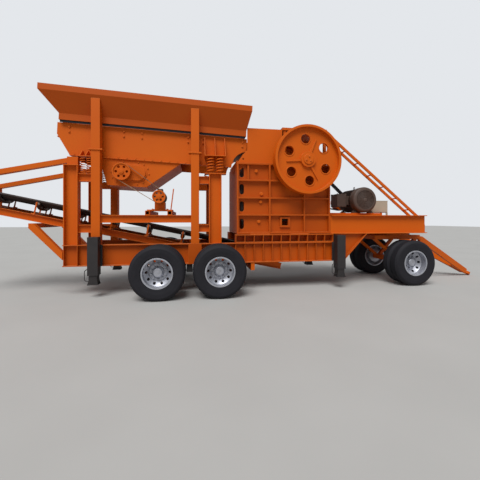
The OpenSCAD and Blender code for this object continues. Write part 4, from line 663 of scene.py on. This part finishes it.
# Feeder motor
# A small ribbed motor on a pedestal that slides on two bed bars, so that its lever can tighten
# the belts to the exciter.
small_motor_place = Vector((along(1.798), 0, 1.973))
pulley_face = 0.585
cowl = fan_cowl("cowl", 0.130, -0.420 + pulley_face, 0.120)
cowl.data.transform(Matrix.Rotation(math.pi, 4, "Z"))
stator = ribbed_stator("stator", 0.112, 0.132, -0.520, -0.290, 30, 0.005)
shield = spun_ring("shield", [
    (0, -0.545), (0.045, -0.545), (0.050, -0.535), (0.100, -0.528), (0.120, -0.515), (0, -0.515),
], steps=48)
for piece in (cowl, shield):
    smooth(piece, 40)
pieces = [stator, shield, cowl]
bed_z = 1.680 - small_motor_place.z
pieces.append(plate("terminals", (-0.058, -0.430, 0.110), (0.058, -0.300, 0.183), 0.006))
small_motor = joined("feeder_motor_body", pieces)
small_motor.data.transform(Matrix.Translation(small_motor_place))
fitted(small_motor, motor_paint, "machine")
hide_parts("feeder_motor")

pieces = [plate("pedestal", (-0.105, -0.483, bed_z + 0.030), (0.105, -0.230, -0.100), 0.006)]
for y in (-0.524, -0.324):
    pieces.append(plate("bar", (-0.258, y, bed_z + 0.001), (0.268, y + 0.118, bed_z + 0.029), 0.004))
    for x in (-0.150, 0.150):
        bolt = hex_bolt("bolt", 0.026, 0.016)
        pieces.append(copy_of(bolt, "b", turn=upright, move=(x, y + 0.06, bed_z + 0.029)))
        bpy.data.objects.remove(bolt)
lever = plate("lever", (-0.011, -0.494, 0), (0.011, -0.466, 0.450), 0.004)
lever.data.transform(Matrix.Translation((0.232, 0, bed_z + 0.029)) @ Matrix.Rotation(math.radians(7), 4, "Y"))
pieces.append(lever)
bed = joined("feeder_motor_bed", pieces)
bed.data.transform(Matrix.Translation(small_motor_place))
fitted(bed, enamel, "machine")

# Control box
# A sheet-steel cabinet with a hinged door, powder coated a smooth, even beige. It stands on the
# deck on four short legs.
box_paint, place = start_material("beige_powder_coat")
haze = add_node(box_paint, "ShaderNodeTexNoise", {"Scale": 3.0, "Detail": 5.0}, {"Vector": place})
tone = add_node(
    box_paint, "ShaderNodeMix", {"A": linear("#A79C8A"), "B": linear("#BBB09C")},
    {"Factor": haze.outputs["Fac"]}, data_type="RGBA",
)
edge = add_node(box_paint, "ShaderNodeBevel", {"Radius": 0.003}, samples=4)
shader = add_node(
    box_paint, "ShaderNodeBsdfPrincipled", {"Roughness": 0.45},
    {"Base Color": tone.outputs["Result"], "Normal": edge.outputs["Normal"]},
)
add_node(box_paint, "ShaderNodeOutputMaterial", links={"Surface": shader.outputs["BSDF"]})
low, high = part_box("control_box")
stand_top = low.z + 0.085
door_edge = 0.012
pieces = [
    plate("cabinet", (low.x, low.y + 0.012, stand_top), high, 0.004),
    plate("door", (low.x + door_edge, low.y + 0.001, stand_top + door_edge),
          (high.x - door_edge, low.y + 0.016, high.z - door_edge), 0.003),
    plate("roof_lip", (low.x, low.y, high.z - 0.010), (high.x, low.y + 0.014, high.z), 0.002),
    plate("handle", (high.x - 0.050, low.y, high.z - 0.200),
          (high.x - 0.036, low.y + 0.004, high.z - 0.130), 0.001),
]
for x in (low.x + 0.001, high.x - 0.039):
    for y in (low.y + 0.001, high.y - 0.059):
        pieces.append(plate("leg", (x, y, low.z), (x + 0.038, y + 0.038, stand_top + 0.002), 0.002))
cabinet = joined("control_cabinet", pieces)
fitted(cabinet, box_paint, "machine")
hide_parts("control_box")

# Feeder bolts
# The trough's liner plates are held by pairs of hex bolts, its bottom flange by a row of them
# every 170 mm, and the exciter's guard by a ring of smaller ones.
feeder_tilt = Matrix.Rotation(math.radians(2.65), 4, "Y")
on_feeder = Matrix.Translation((rear_end, 0, 3.445)) @ feeder_tilt
facing = {
    "near": Matrix.Rotation(math.pi, 4, "Z"),
    "far": Matrix.Identity(4),
    "up": upright,
}


def bolted(name, bolt, places, turn, frame_of=Matrix.Identity(4)):
    """Copies of one bolt at each place, all facing one way, as one piece."""
    spots = [frame_of @ Vector(spot) for spot in places]
    return joined(name, [copy_of(bolt, "b", turn=turn, move=spot) for spot in spots])


flange_bolt = hex_bolt("flange_bolt", 0.030, 0.018)
guard_bolt = hex_bolt("guard_bolt", 0.022, 0.012)
pieces = []
flange_row = [0.16 + i * 0.17 for i in range(18)]
liner_columns = (0.04, 1.09, 1.45, 2.40, 2.72, 3.58)
guard_ring = []
bolt_circle, guard_length = 0.225, 0.300
for i in range(7):
    sweep = math.radians(90 + 30 * i)
    out, up_by = bolt_circle * math.cos(sweep), bolt_circle * math.sin(sweep)
    guard_ring += [(out, up_by), (guard_length - out, up_by)]
for side, outward in ((-1, "near"), (1, "far")):
    flange = [(x, side * 0.539, -0.6415) for x in flange_row]
    pieces.append(bolted("flange", flange_bolt, flange, facing["up"], on_feeder))
    liner = [(x, side * 0.5195, z) for x in liner_columns for z in (-0.075, -0.175)]
    pieces.append(bolted("liner", flange_bolt, liner, facing[outward], on_feeder))
on_guard = Matrix.Translation((along(1.058), 0, 2.476)) @ feeder_tilt
pieces.append(bolted("guard", guard_bolt, [(x, -0.5195, z) for x, z in guard_ring], facing["near"], on_guard))
feeder_bolts = joined("feeder_bolts", pieces)
fitted(feeder_bolts, enamel, "machine")

# Hopper skirts
# Strips of black rubber sheet hang inside the hopper's throat and close the gap above the moving
# feeder trough. Their black is also painted shade: it stands in for the shadow in that gap, so that
# from the side the gap reads as a dark line.
# Black rubber strips set in the gap as painted shade for its shadow.
skirts_as_painted_shade = joined("hopper_skirts_and_painted_shade", [
    plate("skirt", (-0.118, y, -0.012), (3.620, y + 0.010, 0.130), 0.002) for y in (-0.586, 0.576)
])
skirts_as_painted_shade.data.transform(on_feeder)
fitted(skirts_as_painted_shade, rubber, "machine")

# Conveyor idlers
# Every 750 mm a bent bracket carries three steel rollers that trough the belt. The brackets are
# painted with the frame, and the rollers and both drums are bare and dusty.
on_conveyor = Matrix.Translation((along(4.488), 0, 0.360)) @ Matrix.Rotation(math.radians(12), 4, "Y")
idler_pitch = 0.750
idler_places = [-0.837 - idler_pitch * i for i in range(8)]
roller_r, wing, belt_line = 0.0445, math.radians(30), 0.310
below_belt = roller_r + 0.0005
wing_pivot = Vector((0, -0.125 - below_belt * math.sin(wing), belt_line - below_belt * math.cos(wing)))


def roller(name, radius, y0, y1, shaft, reach):
    """A steel roller round the Y axis with rounded rims, dished end caps and its shaft."""
    return spun_ring(name, [
        (0, y0 - reach), (shaft, y0 - reach), (shaft, y0 + 0.006), (radius - 0.010, y0 + 0.006),
        (radius - 0.006, y0), (radius - 0.002, y0), (radius, y0 + 0.003),
        (radius, y1 - 0.003), (radius - 0.002, y1), (radius - 0.006, y1),
        (radius - 0.010, y1 - 0.006), (shaft, y1 - 0.006), (shaft, y1 + reach), (0, y1 + reach),
    ], steps=28)


flat_roller = roller("flat", roller_r, -0.117, 0.117, 0.010, 0.012)
flat_roller.data.transform(Matrix.Translation((0, 0, belt_line - below_belt)))
wing_roller = roller("wing", roller_r, -0.180, -0.010, 0.010, 0.030)
wing_roller.data.transform(Matrix.Translation(wing_pivot) @ Matrix.Rotation(-wing, 4, "X"))
far_wing = copy_of(wing_roller, "far_wing", turn=Matrix.Rotation(math.pi, 4, "Z"))
roller_set = joined("roller_set", [flat_roller, wing_roller, far_wing])

post = [plate("foot", (-0.029, -0.397, 0.1405), (0.029, 0.397, 0.1475), 0.002)]
for side in (-1, 1):
    for name, inner, outer, top in (("inner", 0.125, 0.133, 0.278), ("outer", 0.332, 0.340, 0.396)):
        near_y, far_y = sorted((side * inner, side * outer))
        post.append(plate(name, (-0.015, near_y, 0.147), (0.015, far_y, top), 0.002))
    clip_low, clip_high = sorted((side * 0.360, side * 0.392))
    post.append(plate("clip", (-0.040, clip_low, 0.147), (0.040, clip_high, 0.160), 0.003))
bracket = joined("bracket", post)

rollers = [copy_of(roller_set, "r", move=(x, 0, 0)) for x in idler_places]
brackets = [copy_of(bracket, "b", move=(x, 0, 0)) for x in idler_places]
return_roller = roller("return", 0.0295, -0.344, 0.344, 0.010, 0.0)
for i in range(0, 8, 2):
    rollers.append(copy_of(return_roller, "r", move=(idler_places[i] - idler_pitch / 2, 0, 0.0295)))
drum = roller("drum", 0.1195, -0.340, 0.340, 0.024, 0.054)
for x in (-6.830, -0.180):
    rollers.append(copy_of(drum, "d", move=(x, 0, 0.190)))
for spare in (roller_set, bracket, return_roller, drum):
    bpy.data.objects.remove(spare)
idler_rollers = joined("idler_rollers_and_drums", rollers)
idler_rollers.data.transform(on_conveyor)
smooth(idler_rollers, 40)
fitted(idler_rollers, steel, "machine")
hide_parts("conveyor_idlers")
idler_brackets = joined("idler_brackets", brackets)
idler_brackets.data.transform(on_conveyor)
fitted(idler_brackets, enamel, "machine")

# Drive belts
# Six narrow V belts of fabric-backed rubber run side by side from the motor pulley to the drive
# sheave. Two drive the exciter, and stone dust has turned the cloth on their backs tan and matt.


def v_belt(name, big, big_r, small, small_r, y, width, depth):
    """A V belt round two wheels, given by their centres (x, z) and radii, its back outwards."""
    span = Vector(small) - Vector(big)
    heading = math.atan2(span.y, span.x)
    lean = math.acos((big_r - small_r) / span.length)
    path = []
    for centre, radius, first, last, steps in (
        (big, big_r, heading + lean, heading + math.tau - lean, 72),
        (small, small_r, heading - lean, heading + lean, 24),
    ):
        for i in range(steps + 1):
            sweep = first + (last - first) * i / steps
            path.append((centre[0] + radius * math.cos(sweep), centre[1] + radius * math.sin(sweep), sweep))
    back, foot = depth / 2, width * 0.3
    section = ((back, -width / 2), (back, width / 2), (-back, foot), (-back, -foot))
    deselect_all()
    bpy.ops.mesh.primitive_torus_add(major_segments=len(path), minor_segments=len(section))
    belt = bpy.context.object
    belt.name = name
    for k, vertex in enumerate(belt.data.vertices):
        x, z, sweep = path[k // len(section)]
        out, across = section[k % len(section)]
        vertex.co = (x + out * math.cos(sweep), y + across, z + out * math.sin(sweep))
    bpy.ops.object.mode_set(mode="EDIT")
    bpy.ops.mesh.select_all(action="SELECT")
    bpy.ops.mesh.normals_make_consistent(inside=False)
    bpy.ops.object.mode_set(mode="OBJECT")
    return belt


crusher_shaft = Vector((along(4.938), 0, 2.790))
shaft_place = (crusher_shaft.x, crusher_shaft.z)
motor_shaft = (motor_place.x, motor_place.z)
groove_lines = [0.715 + (i + 0.5) * 0.220 / 6 for i in range(6)]
main_belts = joined("main_v_belts", [
    v_belt("belt", shaft_place, 0.737, motor_shaft, 0.217, y, 0.022, 0.014) for y in groove_lines
])
smooth(main_belts, 40)
fitted(main_belts, rubber, "machine")
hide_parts("main_belt")

belt_cloth, place = start_material("dusty_belt_cloth")
dust = add_node(belt_cloth, "ShaderNodeTexNoise", {"Scale": 12.0, "Detail": 6.0}, {"Vector": place})
tone = add_node(
    belt_cloth, "ShaderNodeMix", {"A": linear("#7C5B42"), "B": linear("#A07E60")},
    {"Factor": dust.outputs["Fac"]}, data_type="RGBA",
)
shader = add_node(
    belt_cloth, "ShaderNodeBsdfPrincipled", {"Roughness": 0.9},
    {"Base Color": tone.outputs["Result"]},
)
add_node(belt_cloth, "ShaderNodeOutputMaterial", links={"Surface": shader.outputs["BSDF"]})
exciter_shaft = (along(1.058), 2.476)
small_shaft = (small_motor_place.x, small_motor_place.z)
feeder_belts = joined("feeder_v_belts", [
    v_belt("belt", exciter_shaft, 0.1765, small_shaft, 0.133, y, 0.021, 0.012) for y in (-0.637, -0.613)
])
smooth(feeder_belts, 40)
fitted(feeder_belts, belt_cloth, "machine")
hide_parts("feeder_belt")

# Pulleys
# Turned cast-iron V pulleys, painted with the frame. The six-groove one on the motor shaft is built
# here. The two small ones, with six round holes in their webs, on the exciter and the feeder motor,
# are CAD nodes painted above.


def grooved_pulley(name, radius, y0, y1, lines, groove, recess, hub, web):
    """A V pulley round the Y axis, with grooves at the given lines and a recess in its near face."""
    rim = [(radius, y0)]
    for y in lines:
        rim += [(radius, y - groove * 0.5), (radius - groove * 0.75, y - groove * 0.28),
                (radius - groove * 0.75, y + groove * 0.28), (radius, y + groove * 0.5)]
    rim += [(radius, y1)]
    face = [(0, y1), (0, y0 - 0.004), (hub * 0.8, y0 - 0.004), (hub, y0 + 0.002), (hub, y0 + recess),
            (radius - web, y0 + recess), (radius - web * 0.8, y0)]
    return spun_ring(name, face + rim, steps=72)


wheel = grooved_pulley("motor_wheel", 0.2195, 0.702, 0.948, groove_lines, 0.024, 0.0, 0.06, 0.03)
wheel.data.transform(Matrix.Translation(motor_place))
smooth(wheel, 35)
shaft = spun_ring("shaft", [(0, 0.519), (0.040, 0.519), (0.040, 0.703), (0, 0.703)], steps=32)
shaft.data.transform(Matrix.Translation(motor_place))
motor_wheel = joined("motor_v_pulley", [wheel, shaft])
fitted(motor_wheel, enamel, "motor_rotor")
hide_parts("motor_pulley")

# Shaft caps
# A turned steel cap closes each end of the crusher's shaft and clamps its wheel. Three bolts
# hold it to the shaft.
cap_bolt = hex_bolt("cap_bolt", 0.028, 0.012)
pieces = []
for outward, face in (("near", -0.9395), ("far", 0.9395)):
    side = -1 if outward == "near" else 1
    rounded_at, top = face + side * 0.014, face + side * 0.022
    cap = spun_ring("cap", [(0, face), (0.112, face), (0.112, rounded_at), (0.104, top), (0, top)], steps=64)
    smooth(cap, 30)
    pieces.append(cap)
    sweeps = [math.radians(80 + 120 * i) for i in range(3)]
    ring = [(0.055 * math.cos(a), face + side * 0.0215, 0.055 * math.sin(a)) for a in sweeps]
    pieces.append(bolted("cap_bolts", cap_bolt, ring, facing[outward]))
caps = joined("shaft_caps", pieces)
caps.data.transform(Matrix.Translation(crusher_shaft))
fitted(caps, enamel, "crusher_rotor")

# Crusher bolts
# Heavy bolts through the side frames hold the cheek plates inside, and a turned steel ring
# closes each bearing housing round the shaft.
cheek_bolt = hex_bolt("cheek_bolt", 0.055, 0.030, washer=0.008)
cheek_places = ((3.858, 2.560), (3.978, 2.060), (3.958, 1.890), (3.918, 1.455), (4.400, 2.560))
pieces = []
for outward, side in (("near", -1), ("far", 1)):
    spots = [(along(x), side * 0.5995, z) for x, z in cheek_places]
    pieces.append(bolted("cheek", cheek_bolt, spots, facing[outward]))
    cover = spun_ring("cover", [
        (0.100, side * 0.684), (0.185, side * 0.684), (0.185, side * 0.690),
        (0.150, side * 0.694), (0.125, side * 0.698), (0.100, side * 0.698),
    ], steps=64)
    cover.data.transform(Matrix.Translation(crusher_shaft))
    smooth(cover, 30)
    pieces.append(cover)
crusher_bolts = joined("crusher_bolts", pieces)
fitted(crusher_bolts, enamel, "machine")

# Leg handles
# A loop of round bar is welded to each landing leg above its foot, as a handle. It is painted
# black with the leg.
for body, side, x in (
    ("leg_rear_near_slide", -1, 0.613), ("leg_rear_far_slide", 1, 0.613),
    ("leg_front_near_slide", -1, 5.678), ("leg_front_far_slide", 1, 5.678),
):
    deselect_all()
    bpy.ops.mesh.primitive_torus_add(
        major_radius=0.055, minor_radius=0.007, major_segments=32, minor_segments=8,
        rotation=(math.radians(90), 0, 0),
    )
    loop = bpy.context.object
    bpy.ops.object.transform_apply(location=True, rotation=True, scale=True)
    for vertex in loop.data.vertices:
        vertex.co.z = vertex.co.z - 0.06 if vertex.co.z < 0 else vertex.co.z + 0.06
    handle = joined("handle_" + body[:-6], [loop])
    handle.data.transform(Matrix.Translation((along(x - 0.118), side * 0.877, 0.420)))
    smooth(handle, 60)
    fitted(handle, black, body)

for spare in (flange_bolt, guard_bolt, cap_bolt, cheek_bolt):
    bpy.data.objects.remove(spare)
